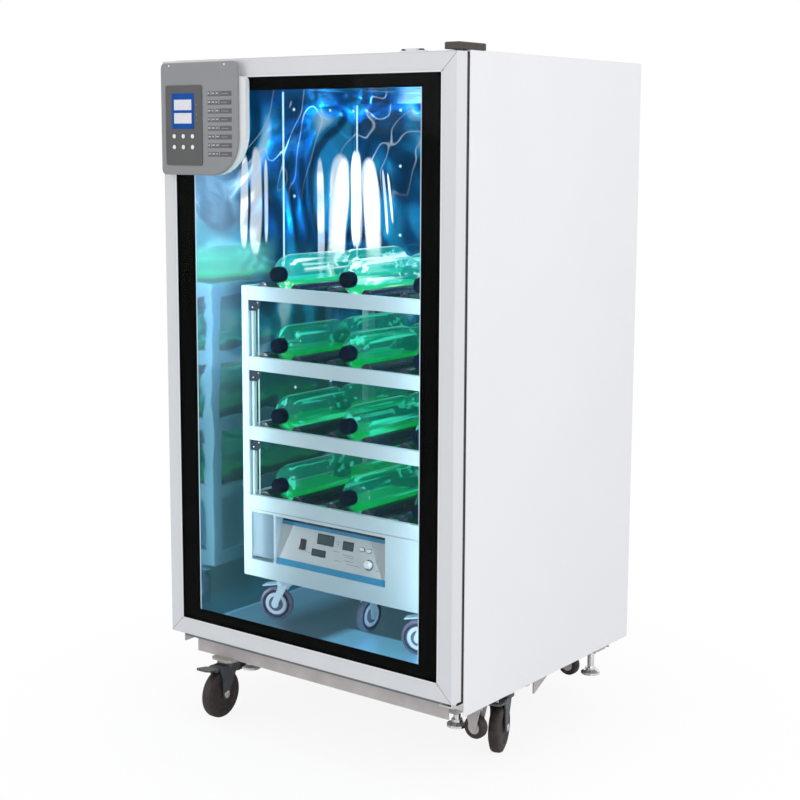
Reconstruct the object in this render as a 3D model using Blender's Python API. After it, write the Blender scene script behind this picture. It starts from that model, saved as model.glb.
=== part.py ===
"""Roll-in incubator with a glass door and a wheeled roller-bottle rack inside.

Metres, +Z up, the door faces -Y. The origin is on the floor below the middle of the whole
object. Every sub-part is one named object; moving pieces hang on an empty at their joint.
"""
import math

import bmesh
import bpy
from mathutils import Matrix, Vector

# Clearances
TOUCH = 0.0003            # between two pieces that touch
RUNNING = 0.0005          # round a pin in its hole
WELD = 0.001              # depth to which two welded pieces share metal

# Cabinet
CABINET_WIDTH = 0.894
SIDE_HEIGHT = 1.495       # side panels, skirt to top
SHEET = 0.0015            # painted steel skin
SKIRT_DROP = 0.016        # side panels reach this far below the top of the chassis
TOP_CORNER = 0.0023       # outer bend radius of the skin
BACK_BULGE = 0.006        # raised field pressed into the back
BACK_BORDER = 0.060
FLANGE = 0.002            # front flange of the liner
LINER_SHEET = 0.001
WALL = 0.055              # outside of the side to inside of the chamber
CEILING = 0.064
BACK_WALL = 0.064
FLOOR = 0.041             # base pan to chamber floor

# Chassis under the cabinet
CHANNEL_HEIGHT = 0.034
CHANNEL_WALL = 0.003
FRONT_BEAM_DEPTH = 0.040
FRONT_BEAM_SETBACK = 0.004
FRONT_BEAM_INSET = 0.045
CROSS_BEAM_DEPTH = 0.070
CROSS_BEAM_INSET = 0.017
CROSS_BEAM_SETBACK = 0.134    # cabinet front to the middle of the second beam
REAR_BEAM_SETBACK = 0.063     # rear beam to the back of the cabinet
RAIL_WIDTH = 0.040
RAIL_INSET = 0.047        # side of the cabinet to the side rail
GUSSET_LENGTH = 0.090
GUSSET_DROP = 0.044
GUSSET_THICK = 0.004
GUSSET_EDGE = 0.004

# Large casters
WHEEL_RADIUS = 0.0625
WHEEL_WIDTH = 0.030
CASTER_TRAIL = 0.032
CROWN_CLEARANCE = 0.005   # wheel to the crown
CROWN_THICK = 0.010
HEAD_RADIUS = 0.029
HEAD_HEIGHT = 0.006
RIVET_SHARE = 0.6         # rivet of a rigid fork to its bearing head
PLATE_THICK = 0.004
PLATE_SIDE = 0.066
PLATE_CORNER = 0.008
CHEEK = 0.003
CHEEK_GAP = 0.002         # wheel side to cheek
CHEEK_TOP = 0.019         # half depth of a cheek at the crown
AXLE_RADIUS = 0.006
NUT_REACH = 0.003         # axle nut beyond the cheek
BOSS_RADIUS = 0.013
FRONT_LEFT_INSET = 0.141      # side of the cabinet to the swivel
FRONT_LEFT_SETBACK = 0.016    # front edge of the cabinet to the swivel
FRONT_RIGHT_INSET = 0.067
FRONT_RIGHT_SETBACK = 0.262
FRONT_LEFT_HEADING = math.radians(4.4)  # turn of the axle from +X
FRONT_RIGHT_HEADING = math.radians(19.8)
REAR_CASTER_INSET = 0.257

# Brake pedal
PEDAL_REACH = 0.107       # swivel axis to pedal tip
PEDAL_WIDTH = 0.044
PEDAL_THICK = 0.0045
PEDAL_RISE = 0.009
PEDAL_NECK = 0.012
PEDAL_PIN = 0.003
PEDAL_PIVOT = 0.045       # swivel axis to the pedal's pin
EAR = 0.008               # fork ear beyond the pin
LUG_DROP = 0.010          # brake lug below the pin
LUG_LENGTH = 0.008

# Transport casters and levelling feet
SMALL_WHEEL_RADIUS = 0.028
SMALL_WHEEL_WIDTH = 0.022
SMALL_AXLE_RADIUS = 0.004
SMALL_BOSS = 0.009
SMALL_HEAD = 0.024
SMALL_DROP = 0.086        # bottom of the small wheel below the chassis
SMALL_FRONT_INSET = 0.057     # side of the cabinet to a transport caster
SMALL_REAR_INSET = 0.117
FOOT_FRONT_INSET = 0.112      # side of the cabinet to a foot
FOOT_REAR_INSET = 0.051
PAD_RADIUS = 0.025
PAD_HEIGHT = 0.012
STUD_RADIUS = 0.009
FOOT_DROP = 0.069         # underside of the pad below the chassis
NUT_HEIGHT = 0.010
STUD_ABOVE = 0.018        # stud end above its nut

# Door
DOOR_DROP = 0.004         # top of the cabinet to the top of the door
DOOR_THICK = 0.035
DOOR_RISE = 0.025         # bottom of the door above the top of the chassis
GASKET_GAP = 0.011
GASKET_WIDTH = 0.012
GASKET_INSET = 0.004
FRAME_FACE = 0.042
FRAME_CHAMFER = 0.0025
LIP_WIDTH = 0.006
LIP_STEP = 0.0006
LIP_THICK = 0.0018
PANE = 0.004
PANE_GAP = 0.012
PANE_BITE = 0.008         # glass inside the frame's groove
BORDER_SIDE = 0.058       # dark border seen at the sides
BORDER_END = 0.032        # dark border seen at top and bottom
BORDER_SHEET = 0.0012
SPACER_WALL = 0.006
HINGE_INSET = 0.0075      # hinge axis from the door's right edge
HINGE_PIN = 0.004
COLLAR = 0.0065
PIN_REACH = 0.012         # pin inside the door
LEAF_THICK = 0.0035
LEAF_NOSE = 0.011         # leaf in front of the pin
COLLAR_HEIGHT = 0.007
COVER_LENGTH = 0.098
COVER_WIDTH = 0.040
COVER_HEIGHT = 0.0155
COVER_WALL = 0.002
COVER_LEAD = 0.008        # front of the cover behind the door's front face
COVER_INSET = 0.0005

# Control panel on the door
PANEL_LEFT = 0.0185       # door's left edge to the panel
PANEL_DROP = 0.006        # door's top edge to the panel
PANEL_WIDTH = 0.2535
PANEL_HEIGHT = 0.269
BASE_THICK = 0.0137
COVER_THICK = 0.0100
PANEL_RIM = 0.020         # base beyond the cover at the right
RIM_DROP = 0.036          # panel top to the start of the rim
PANEL_CORNER = 0.012
PANEL_SWEEP = 0.085       # big lower right corner
PANEL_EDGE = 0.002
FACE_WIDTH = 0.123
FACE_HEIGHT = 0.192
FACE_THICK = 0.0015
FACE_LEFT = 0.0185        # cover's left edge to the faceplate
FACE_DROP = 0.054
FACE_CORNER = 0.006
KEY_RADIUS = 0.0057
KEY_PROUD = 0.0012
KEY_TRAVEL = 0.0008
KEY_SKIRT = 0.003         # key below the faceplate
KEY_PITCH_X = 0.0312
KEY_PITCH_Z = 0.026
KEY_FIRST_X = 0.0285      # faceplate's left edge to the first key
KEY_FIRST_DROP = 0.122
KEY_COLUMNS = 3
KEY_ROWS = 2

# Air duct and fan at the back of the chamber
DUCT_DEPTH = 0.045
DUCT_SHEET = 0.0015
DUCT_RAISE = 0.060        # chamber floor to duct
DUCT_DROP = 0.030         # chamber ceiling to duct
FAN_RADIUS = 0.075
FAN_TIP_GAP = 0.004
FAN_HUB_RADIUS = 0.022
FAN_HUB_LENGTH = 0.014
FAN_BLADES = 6
FAN_PITCH = math.radians(28)
BLADE_THICK = 0.002
BLADE_CHORD = 0.030
BLADE_FLARE = 1.3
FAN_DROP = 0.500          # duct top to the fan's axis
MOTOR_RADIUS = 0.030
MOTOR_LENGTH = 0.018
SHAFT_RADIUS = 0.003
SLOT_LENGTH = 0.150
SLOT_HEIGHT = 0.008
SLOT_PITCH = 0.020
INTAKE_SLOTS = 7
OUTLET_SLOTS = 4
OUTLET_X = 0.240
OUTLET_RAISE = 0.110

# Roller rack
RACK_WIDTH = 0.676
RACK_BACK_ROOM = 0.008    # back of the rack to the duct
RACK_SETBACK = 0.114      # front edge of the cabinet to the rack
TIERS = 4
TIER_PITCH = 0.181
RAIL_HEIGHT = 0.035
RAIL_DEPTH = 0.015
RAIL_SHEET = 0.002
RAIL_RECESS = 0.0005      # rail face behind the stile face
STILE_WIDTH = 0.022
STILE_DEPTH = 0.030
SIDE_BAR = 0.016
ROD_RADIUS = 0.005
ROD_GAP = 0.004           # stile to the upright rod beside it
LANES = 3
LANE_INSET = 0.112        # side of the rack to the middle of the outer lane
ROLLER_RADIUS = 0.019
ROLLER_SHAFT = 0.005
ROLLER_SPREAD = 0.055     # roller axis to lane centre
ROLLER_END = 0.006        # roller body to rail
ROLLER_DROP = 0.008       # roller axis below the top of its rail
BOTTLE_RADIUS = 0.049
BOTTLE_LENGTH = 0.250     # with its cap
BOTTLE_SHOULDER = 0.032
BOTTLE_WAIST = 0.035      # radius half way up the shoulder
CAP_RADIUS = 0.020
CAP_LENGTH = 0.028
BOTTLE_START = 0.003      # rack front to the front cap
BOTTLE_END = 0.019        # last bottle to the back of the rack
BOTTLE_ROWS = 2

# Drive box at the foot of the rack
BOX_HEIGHT = 0.1797
BOX_DEPTH = 0.140
FASCIA_LEFT = 0.110       # rack's left side to the fascia
FASCIA_WIDTH = 0.358
FASCIA_HEIGHT = 0.118
FASCIA_RAISE = 0.046      # box bottom to fascia
FASCIA_THICK = 0.003
FASCIA_TILT = 0.028       # top of the fascia behind its foot
WELL_MARGIN = 0.025       # fascia edge to the well behind it
POCKET_LEFT = 0.028
POCKET_WIDTH = 0.076
POCKET_HEIGHT = 0.128
POCKET_RAISE = 0.044
POCKET_DEPTH = 0.060
ROCKER_WIDTH = 0.018
ROCKER_HEIGHT = 0.026
ROCKER_PROUD = 0.0035
ROCKER_AT = (0.081, 0.062)    # along and up the fascia
ROCKER_SWING = math.radians(16)
BUTTON_AT = ((0.271, 0.080), (0.293, 0.079))
BUTTON_WIDTH = 0.014
BUTTON_HEIGHT = 0.008
BUTTON_PROUD = 0.003
KNOB_AT = (0.299, 0.046)
KNOB_RADIUS = 0.010
KNOB_PROUD = 0.012
KNOB_STEM = 0.003
CONTROL_DEPTH = 0.008     # controls behind the front of the fascia

# Rack casters
RACK_WHEEL_RADIUS = 0.045
RACK_WHEEL_WIDTH = 0.024
RACK_TRAIL = 0.022
RACK_CROWN_CLEARANCE = 0.004
RACK_CROWN_THICK = 0.011
RACK_HEAD_RADIUS = 0.021
RACK_HEAD_HEIGHT = 0.008
RACK_PLATE = 0.003
RACK_PLATE_SIDE = 0.054
RACK_PLATE_CORNER = 0.006
RACK_CHEEK_TOP = 0.014
RACK_AXLE = 0.005
RACK_BOSS = 0.010
RACK_FRONT_X = 0.232
RACK_FRONT_SETBACK = 0.040
RACK_MIDDLE_SETBACK = 0.100
RACK_REAR_X = 0.280
RACK_REAR_INSET = 0.052   # back of the rack to the rear casters
RACK_REAR_BAR = 0.040
RACK_HEADING = math.radians(-70)

# Facets
ROUND = 18
WHEEL = 14
MEDIUM = 12
SMALL = 10
SHAFT = 6

# Worked out from the sizes above
HALF_WIDTH = CABINET_WIDTH / 2
SKIN = HALF_WIDTH - SHEET - TOUCH
FORK_TOP = 2 * WHEEL_RADIUS + CROWN_CLEARANCE + CROWN_THICK
CHASSIS_BOTTOM = FORK_TOP + TOUCH + HEAD_HEIGHT + PLATE_THICK
CHASSIS_TOP = CHASSIS_BOTTOM + CHANNEL_HEIGHT
SKIRT_BOTTOM = CHASSIS_TOP - SKIRT_DROP
CABINET_TOP = SKIRT_BOTTOM + SIDE_HEIGHT
PAN_TOP = CHASSIS_TOP + SHEET
FLOOR_TOP = PAN_TOP + FLOOR
DOOR_BOTTOM = CHASSIS_TOP + DOOR_RISE
DOOR_TOP = CABINET_TOP - DOOR_DROP
PANEL_PROUD = TOUCH + BASE_THICK + TOUCH + COVER_THICK + TOUCH + FACE_THICK + KEY_PROUD
PEDAL_TIP = PEDAL_WIDTH * 0.3
PEDAL_LEAD = (PEDAL_REACH * math.cos(FRONT_LEFT_HEADING) + PEDAL_TIP * math.sin(FRONT_LEFT_HEADING)
              - FRONT_LEFT_SETBACK)
FRONT_REACH = max(GASKET_GAP + DOOR_THICK + PANEL_PROUD, PEDAL_LEAD)
RACK_DEPTH = BOTTLE_START + BOTTLE_ROWS * BOTTLE_LENGTH + BOTTLE_END
CABINET_DEPTH = RACK_SETBACK + RACK_DEPTH + RACK_BACK_ROOM + DUCT_DEPTH + BACK_WALL
CABINET_FRONT = FRONT_REACH - (FRONT_REACH + CABINET_DEPTH) / 2
CABINET_BACK = CABINET_FRONT + CABINET_DEPTH
CROSS_BEAM_Y = CABINET_FRONT + CROSS_BEAM_SETBACK
REAR_BEAM_Y = CABINET_BACK - REAR_BEAM_SETBACK - CROSS_BEAM_DEPTH / 2
DOOR_BACK = CABINET_FRONT - GASKET_GAP
DOOR_FRONT = DOOR_BACK - DOOR_THICK
HINGE = (HALF_WIDTH - HINGE_INSET, DOOR_FRONT + DOOR_THICK / 2)
CHAMBER_HALF = HALF_WIDTH - WALL
CHAMBER_TOP = CABINET_TOP - CEILING
CHAMBER_BACK = CABINET_BACK - BACK_WALL
FOAM_BACK = CABINET_BACK - BACK_BULGE - SHEET - TOUCH
LINER_WRAP = LINER_SHEET + TOUCH
RACK_FRONT = CABINET_FRONT + RACK_SETBACK
RACK_BACK = RACK_FRONT + RACK_DEPTH
RACK_FLOOR = FLOOR_TOP + TOUCH
RACK_FORK_TOP = RACK_FLOOR + 2 * RACK_WHEEL_RADIUS + RACK_CROWN_CLEARANCE + RACK_CROWN_THICK
RACK_BOTTOM = RACK_FORK_TOP + TOUCH + RACK_HEAD_HEIGHT + RACK_PLATE
FIRST_TIER = RACK_BOTTOM + BOX_HEIGHT + TOUCH + RAIL_HEIGHT
TIER_TOPS = [FIRST_TIER + i * TIER_PITCH for i in range(TIERS)]
LANE_PITCH = (RACK_WIDTH - 2 * LANE_INSET) / (LANES - 1)
LANE_X = [(i - (LANES - 1) / 2) * LANE_PITCH for i in range(LANES)]
BOTTLE_RISE = math.sqrt((BOTTLE_RADIUS + ROLLER_RADIUS + TOUCH) ** 2 - ROLLER_SPREAD ** 2)
SLOPE = math.hypot(FASCIA_TILT, FASCIA_HEIGHT)

AXES = {"X": (1, 2, 0), "Y": (0, 2, 1), "Z": (0, 1, 2)}
ALONG_X = Matrix.Rotation(math.pi / 2, 4, "Y")
ALONG_Y = Matrix.Rotation(-math.pi / 2, 4, "X")
AGAINST_Y = Matrix.Rotation(math.pi / 2, 4, "X")

for old in list(bpy.data.objects):
    bpy.data.objects.remove(old, do_unlink=True)


def finish(name, colour, roughness, metallic=0.0, alpha=1.0):
    """A Principled material with one plain look."""
    material = bpy.data.materials.new(name)
    material.use_nodes = True
    shader = material.node_tree.nodes["Principled BSDF"]
    shader.inputs["Base Color"].default_value = (*colour, 1.0)
    shader.inputs["Roughness"].default_value = roughness
    shader.inputs["Metallic"].default_value = metallic
    shader.inputs["Alpha"].default_value = alpha
    material.diffuse_color = (*colour, alpha)
    return material


WHITE_PAINT = finish("white_paint", (0.84, 0.84, 0.86), 0.35)
RACK_PAINT = finish("rack_paint", (0.78, 0.84, 0.88), 0.4)
CHASSIS_PAINT = finish("chassis_paint", (0.52, 0.49, 0.47), 0.5)
MIRROR_STEEL = finish("mirror_steel", (0.42, 0.62, 0.76), 0.12, 1.0)
ZINC = finish("zinc_plate", (0.72, 0.71, 0.68), 0.35, 1.0)
CHROME = finish("chrome", (0.8, 0.8, 0.82), 0.12, 1.0)
FORK_GREY = finish("fork_grey", (0.10, 0.11, 0.12), 0.45, 0.4)
TYRE_BLACK = finish("tyre_black", (0.035, 0.026, 0.024), 0.6)
RACK_TYRE = finish("rack_tyre", (0.30, 0.31, 0.40), 0.5)
FOAM = finish("foam", (0.80, 0.74, 0.55), 0.9)
ALUMINIUM = finish("door_aluminium", (0.76, 0.76, 0.77), 0.3, 0.2)
CLEAR_GLASS = finish("clear_glass", (0.85, 0.93, 0.95), 0.03, 0.0, 0.18)
BLACK_BORDER = finish("black_border", (0.012, 0.010, 0.009), 0.2)
GASKET_GREY = finish("gasket_grey", (0.10, 0.10, 0.105), 0.7)
PANEL_WHITE = finish("panel_white", (0.82, 0.83, 0.82), 0.35)
PANEL_GREY = finish("panel_grey", (0.29, 0.30, 0.31), 0.45)
FACE_GREY = finish("face_grey", (0.10, 0.10, 0.10), 0.4)
KEY_WHITE = finish("key_white", (0.80, 0.88, 0.92), 0.3)
COVER_BROWN = finish("cover_brown", (0.05, 0.030, 0.026), 0.4)
BOTTLE_GREEN = finish("bottle_green", (0.05, 0.55, 0.22), 0.08, 0.0, 0.6)
FASCIA_GREY = finish("fascia_grey", (0.62, 0.68, 0.70), 0.4)
SWITCH_BLACK = finish("switch_black", (0.03, 0.02, 0.025), 0.35)
FAN_BLACK = finish("fan_black", (0.03, 0.03, 0.035), 0.5)


def shape(bm, name, material, joint=None):
    """Turn a bmesh into a named object; a moving piece hangs on its joint's empty."""
    mesh = bpy.data.meshes.new(name)
    bm.to_mesh(mesh)
    bm.free()
    mesh.shade_smooth()
    mesh.set_sharp_from_angle(angle=math.radians(30))
    piece = bpy.data.objects.new(name, mesh)
    bpy.context.collection.objects.link(piece)
    if material:
        mesh.materials.append(material)
    if joint:
        piece.parent = joint
        piece.matrix_parent_inverse = joint.matrix_world.inverted()
    return piece


def pivot(name, place, heading=0.0):
    """An empty on a joint's axis, turned about Z by heading."""
    empty = bpy.data.objects.new(name, None)
    empty.location = place
    empty.rotation_euler = (0.0, 0.0, heading)
    empty.empty_display_size = 0.03
    bpy.context.collection.objects.link(empty)
    bpy.context.view_layer.update()
    return empty


def combine(target, tool, name, operation):
    """Cut a tool from a piece, or weld it on, with a Boolean that stays on the piece."""
    tool.hide_render = True
    tool.display_type = "WIRE"
    tool.parent = target.parent
    tool.matrix_parent_inverse = target.matrix_parent_inverse.copy()
    boolean = target.modifiers.new(name, "BOOLEAN")
    boolean.operation = operation
    boolean.solver = "EXACT"
    boolean.use_self = operation == "UNION"
    boolean.object = tool


def cut(target, bm, name):
    """Cut the solids of a bmesh out of a piece."""
    combine(target, shape(bm, name, None), name, "DIFFERENCE")


def weld(target, bm, name):
    """Weld the solids of a bmesh, which may cross each other, onto a piece."""
    combine(target, shape(bm, name, None), name, "UNION")


def add(bm, part, matrix=None):
    """Put a closed part into a larger bmesh, turned and placed."""
    bmesh.ops.remove_doubles(part, verts=part.verts, dist=1e-6)
    bmesh.ops.recalc_face_normals(part, faces=part.faces)
    mesh = bpy.data.meshes.new("part")
    part.to_mesh(mesh)
    part.free()
    if matrix is not None:
        mesh.transform(matrix)
    bm.from_mesh(mesh)
    bpy.data.meshes.remove(mesh)


def place_point(axis, u, v, along):
    """A point from its two plane coordinates and its place along an axis."""
    first, second, third = AXES[axis]
    point = [0.0, 0.0, 0.0]
    point[first], point[second], point[third] = u, v, along
    return point


def add_block(bm, low, high, matrix=None):
    """A block between two corners."""
    part = bmesh.new()
    low, high = Vector(low), Vector(high)
    size = Matrix.Diagonal((high - low).to_4d())
    size[3][3] = 1.0
    bmesh.ops.create_cube(part, size=1.0, matrix=Matrix.Translation((low + high) / 2) @ size)
    add(bm, part, matrix)


def add_prism(bm, outline, axis, start, end, matrix=None):
    """An outline in the plane across an axis, extruded from start to end."""
    part = bmesh.new()
    face = part.faces.new([part.verts.new(place_point(axis, u, v, start)) for u, v in outline])
    grown = bmesh.ops.extrude_face_region(part, geom=[face])
    moved = [item for item in grown["geom"] if isinstance(item, bmesh.types.BMVert)]
    bmesh.ops.translate(part, vec=place_point(axis, 0.0, 0.0, end - start), verts=moved)
    add(bm, part, matrix)


def add_loops(bm, loops, closed):
    """Skin a row of loops with as many points each; closed joins the last to the first."""
    part = bmesh.new()
    rings = [[part.verts.new(point) for point in loop] for loop in loops]
    pairs = list(zip(rings, rings[1:]))
    if closed:
        pairs.append((rings[-1], rings[0]))
    else:
        part.faces.new(rings[0])
        part.faces.new(rings[-1])
    for a, b in pairs:
        for i in range(len(a)):
            j = (i + 1) % len(a)
            part.faces.new((a[i], a[j], b[j], b[i]))
    add(bm, part)


def add_ring(bm, outer, inner, axis, start, end):
    """A flat ring between two outlines with as many points each."""
    loops = []
    for outline, level in ((outer, start), (outer, end), (inner, end), (inner, start)):
        loops.append([place_point(axis, u, v, level) for u, v in outline])
    add_loops(bm, loops, True)


def add_turned(bm, profile, steps, matrix=None):
    """A profile of (radius, height) points spun round Z, then turned and placed."""
    part = bmesh.new()
    verts = [part.verts.new((radius, 0.0, height)) for radius, height in profile]
    edges = [part.edges.new(pair) for pair in zip(verts, verts[1:])]
    bmesh.ops.spin(part, geom=verts + edges, axis=(0, 0, 1), cent=(0, 0, 0),
                   angle=2 * math.pi, steps=steps)
    add(bm, part, matrix)


def cylinder(radius, start, end):
    """Profile of a plain round bar."""
    return [(0, start), (radius, start), (radius, end), (0, end)]


def at(x, y, z, turn=None):
    """Matrix that turns a part and then moves it."""
    matrix = Matrix.Translation((x, y, z))
    return matrix if turn is None else matrix @ turn


def arc(x, z, radius, start, end, steps):
    """Points of an arc, angles in degrees."""
    points = []
    for i in range(steps + 1):
        angle = math.radians(start + (end - start) * i / steps)
        points.append((x + radius * math.cos(angle), z + radius * math.sin(angle)))
    return points


def rectangle(left, low, right, high):
    """Four corners of a rectangle."""
    return [(left, low), (right, low), (right, high), (left, high)]


def rounded(left, low, right, high, radius, steps=2):
    """A rectangle with round corners, from low left counter-clockwise."""
    points = arc(left + radius, low + radius, radius, 180, 270, steps)
    points += arc(right - radius, low + radius, radius, 270, 360, steps)
    points += arc(right - radius, high - radius, radius, 0, 90, steps)
    points += arc(left + radius, high - radius, radius, 90, 180, steps)
    return points


def polygon_bore(radius, clearance, steps):
    """Radius of a faceted hole that clears a round pin on its flats."""
    return (radius + clearance) / math.cos(math.pi / steps)


def wrapper(half, low, top, corner):
    """Left side, rounded top corners and right side of a sheet bent over the cabinet."""
    points = [(half, low)]
    points += arc(half - corner, top - corner, corner, 0, 90, 3)
    points += arc(-half + corner, top - corner, corner, 90, 180, 3)
    points.append((-half, low))
    return points


def outer_shell():
    """Painted sheet bent over sides and top, with a back welded in and pressed outwards."""
    bm = bmesh.new()
    outside = wrapper(HALF_WIDTH, SKIRT_BOTTOM, CABINET_TOP, TOP_CORNER)
    inside = wrapper(HALF_WIDTH - SHEET, SKIRT_BOTTOM, CABINET_TOP - SHEET, TOP_CORNER - SHEET)
    add_prism(bm, outside + inside[::-1], "Y", CABINET_FRONT, CABINET_BACK)
    shell = shape(bm, "outer_shell", WHITE_PAINT)
    seat = CABINET_BACK - BACK_BULGE
    half = HALF_WIDTH - SHEET / 2
    top = CABINET_TOP - SHEET / 2
    edge = rectangle(-half, CHASSIS_TOP, half, top)
    border = rectangle(-half + BACK_BORDER, CHASSIS_TOP + BACK_BORDER, half - BACK_BORDER,
                       top - BACK_BORDER)
    slope = BACK_BORDER + BACK_BULGE
    field = rectangle(-half + slope, CHASSIS_TOP + slope, half - slope, top - slope)
    loops = []
    for outline, y in ((field, CABINET_BACK - SHEET), (border, seat - SHEET), (edge, seat - SHEET),
                       (edge, seat), (border, seat), (field, CABINET_BACK)):
        loops.append([(x, y, z) for x, z in outline])
    back = bmesh.new()
    add_loops(back, loops, False)
    weld(shell, back, "back_sheet")


def add_tub(bm, outer_low, outer_high, inner_low, inner_high):
    """A box with a well that is open to the front."""
    loops = []
    for low, high, y in ((outer_low, outer_high, outer_high[1]), (outer_low, outer_high, outer_low[1]),
                         (inner_low, inner_high, outer_low[1]), (inner_low, inner_high, inner_high[1])):
        loops.append([(x, y, z) for x, z in rectangle(low[0], low[2], high[0], high[2])])
    add_loops(bm, loops, False)


def insulation():
    """Foam between the skin and the liner, open to the front."""
    front = CABINET_FRONT + FLANGE + TOUCH
    bm = bmesh.new()
    add_tub(bm, (-SKIN, front, PAN_TOP + TOUCH), (SKIN, FOAM_BACK, CABINET_TOP - SHEET - TOUCH),
            (-CHAMBER_HALF - LINER_WRAP, front, FLOOR_TOP - LINER_WRAP),
            (CHAMBER_HALF + LINER_WRAP, CHAMBER_BACK + LINER_WRAP, CHAMBER_TOP + LINER_WRAP))
    shape(bm, "insulation", FOAM)


def inner_liner():
    """Polished tub that makes the chamber, with a front flange and the fan motor at its back."""
    sheet = LINER_SHEET
    outer = rectangle(-CHAMBER_HALF - sheet, FLOOR_TOP - sheet, CHAMBER_HALF + sheet,
                      CHAMBER_TOP + sheet)
    inner = rectangle(-CHAMBER_HALF, FLOOR_TOP, CHAMBER_HALF, CHAMBER_TOP)
    flange = rectangle(-SKIN, CHASSIS_TOP, SKIN, CABINET_TOP - SHEET - TOUCH)
    front = CABINET_FRONT
    loops = []
    for outline, y in ((outer, CHAMBER_BACK + sheet), (outer, front + FLANGE),
                       (flange, front + FLANGE), (flange, front), (inner, front),
                       (inner, CHAMBER_BACK)):
        loops.append([(x, y, z) for x, z in outline])
    bm = bmesh.new()
    add_loops(bm, loops, False)
    liner = shape(bm, "inner_liner", MIRROR_STEEL)
    x, z = fan_centre()
    shaft = MOTOR_LENGTH + TOUCH + FAN_HUB_LENGTH * 0.7
    edge = MOTOR_RADIUS * 0.1
    motor = bmesh.new()
    add_turned(motor, [(0, -sheet / 2), (MOTOR_RADIUS, -sheet / 2), (MOTOR_RADIUS, MOTOR_LENGTH - edge),
                       (MOTOR_RADIUS - edge, MOTOR_LENGTH), (SHAFT_RADIUS, MOTOR_LENGTH),
                       (SHAFT_RADIUS, shaft), (0, shaft)], MEDIUM,
               at(x, CHAMBER_BACK, z, AGAINST_Y))
    weld(liner, motor, "fan_motor")


def add_channel_x(bm, middle, depth, half):
    """Folded channel along X, open at the bottom."""
    add_prism(bm, channel(middle - depth / 2, middle + depth / 2), "X", -half, half)


def channel(low, high):
    """Outline of a channel open at the bottom between two sides."""
    wall = CHANNEL_WALL
    return [(low, CHASSIS_BOTTOM), (low + wall, CHASSIS_BOTTOM), (low + wall, CHASSIS_TOP - wall),
            (high - wall, CHASSIS_TOP - wall), (high - wall, CHASSIS_BOTTOM),
            (high, CHASSIS_BOTTOM), (high, CHASSIS_TOP), (low, CHASSIS_TOP)]


def foot_places():
    """Plan positions of the four levelling feet."""
    front, rear = HALF_WIDTH - FOOT_FRONT_INSET, HALF_WIDTH - FOOT_REAR_INSET
    return {"front_left": (-front, CROSS_BEAM_Y), "front_right": (front, CROSS_BEAM_Y),
            "rear_left": (-rear, REAR_BEAM_Y), "rear_right": (rear, REAR_BEAM_Y)}


def caster_places():
    """Plan positions and headings of the large casters."""
    left_x, left_y = FRONT_LEFT_INSET - HALF_WIDTH, FRONT_LEFT_SETBACK
    right_x, right_y = HALF_WIDTH - FRONT_RIGHT_INSET, FRONT_RIGHT_SETBACK
    rear_x = HALF_WIDTH - REAR_CASTER_INSET
    return {"front_left": (left_x, CABINET_FRONT + left_y, FRONT_LEFT_HEADING),
            "front_right": (right_x, CABINET_FRONT + right_y, FRONT_RIGHT_HEADING),
            "rear_left": (-rear_x, REAR_BEAM_Y, 0.0),
            "rear_right": (rear_x, REAR_BEAM_Y, 0.0)}


def small_caster_places():
    """Plan positions of the four transport casters."""
    front, rear = HALF_WIDTH - SMALL_FRONT_INSET, HALF_WIDTH - SMALL_REAR_INSET
    return [(-front, CROSS_BEAM_Y), (front, CROSS_BEAM_Y), (-rear, REAR_BEAM_Y), (rear, REAR_BEAM_Y)]


def add_foot_nut(bm, x, y):
    """Square nut block in a cross beam, bored for a foot's stud."""
    reach = CROSS_BEAM_DEPTH / 2 - CHANNEL_WALL + WELD
    bore = polygon_bore(STUD_RADIUS, RUNNING, MEDIUM)
    square = []
    hole = []
    for i in range(MEDIUM):
        angle = 2 * math.pi * i / MEDIUM
        across = reach / max(abs(math.cos(angle)), abs(math.sin(angle)))
        square.append((x + across * math.cos(angle), y + across * math.sin(angle)))
        hole.append((x + bore * math.cos(angle), y + bore * math.sin(angle)))
    add_ring(bm, square, hole, "Z", CHASSIS_BOTTOM + TOUCH, CHASSIS_BOTTOM + NUT_HEIGHT)


def add_head(bm, x, y, top, plate, side, corner, radius, height):
    """A caster's top plate, sunk into its beam, and the bearing head below it."""
    half = side / 2
    add_prism(bm, rounded(x - half, y - half, x + half, y + half, corner, 1), "Z", top - plate,
              top + WELD)
    low = top - plate - height
    high = top - plate / 2
    add_turned(bm, [(0, low), (radius, low), (radius, high), (0, high)], MEDIUM, at(x, y, 0))


def add_crown(bm, size, matrix=None):
    """Round crown of a caster fork."""
    top = size["top"]
    low = top - size["crown"]
    head = size["head"]
    edge = size["crown"] / 5
    add_turned(bm, [(0, low), (head - edge, low), (head, low + edge), (head, top), (0, top)], MEDIUM,
               matrix)


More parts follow.
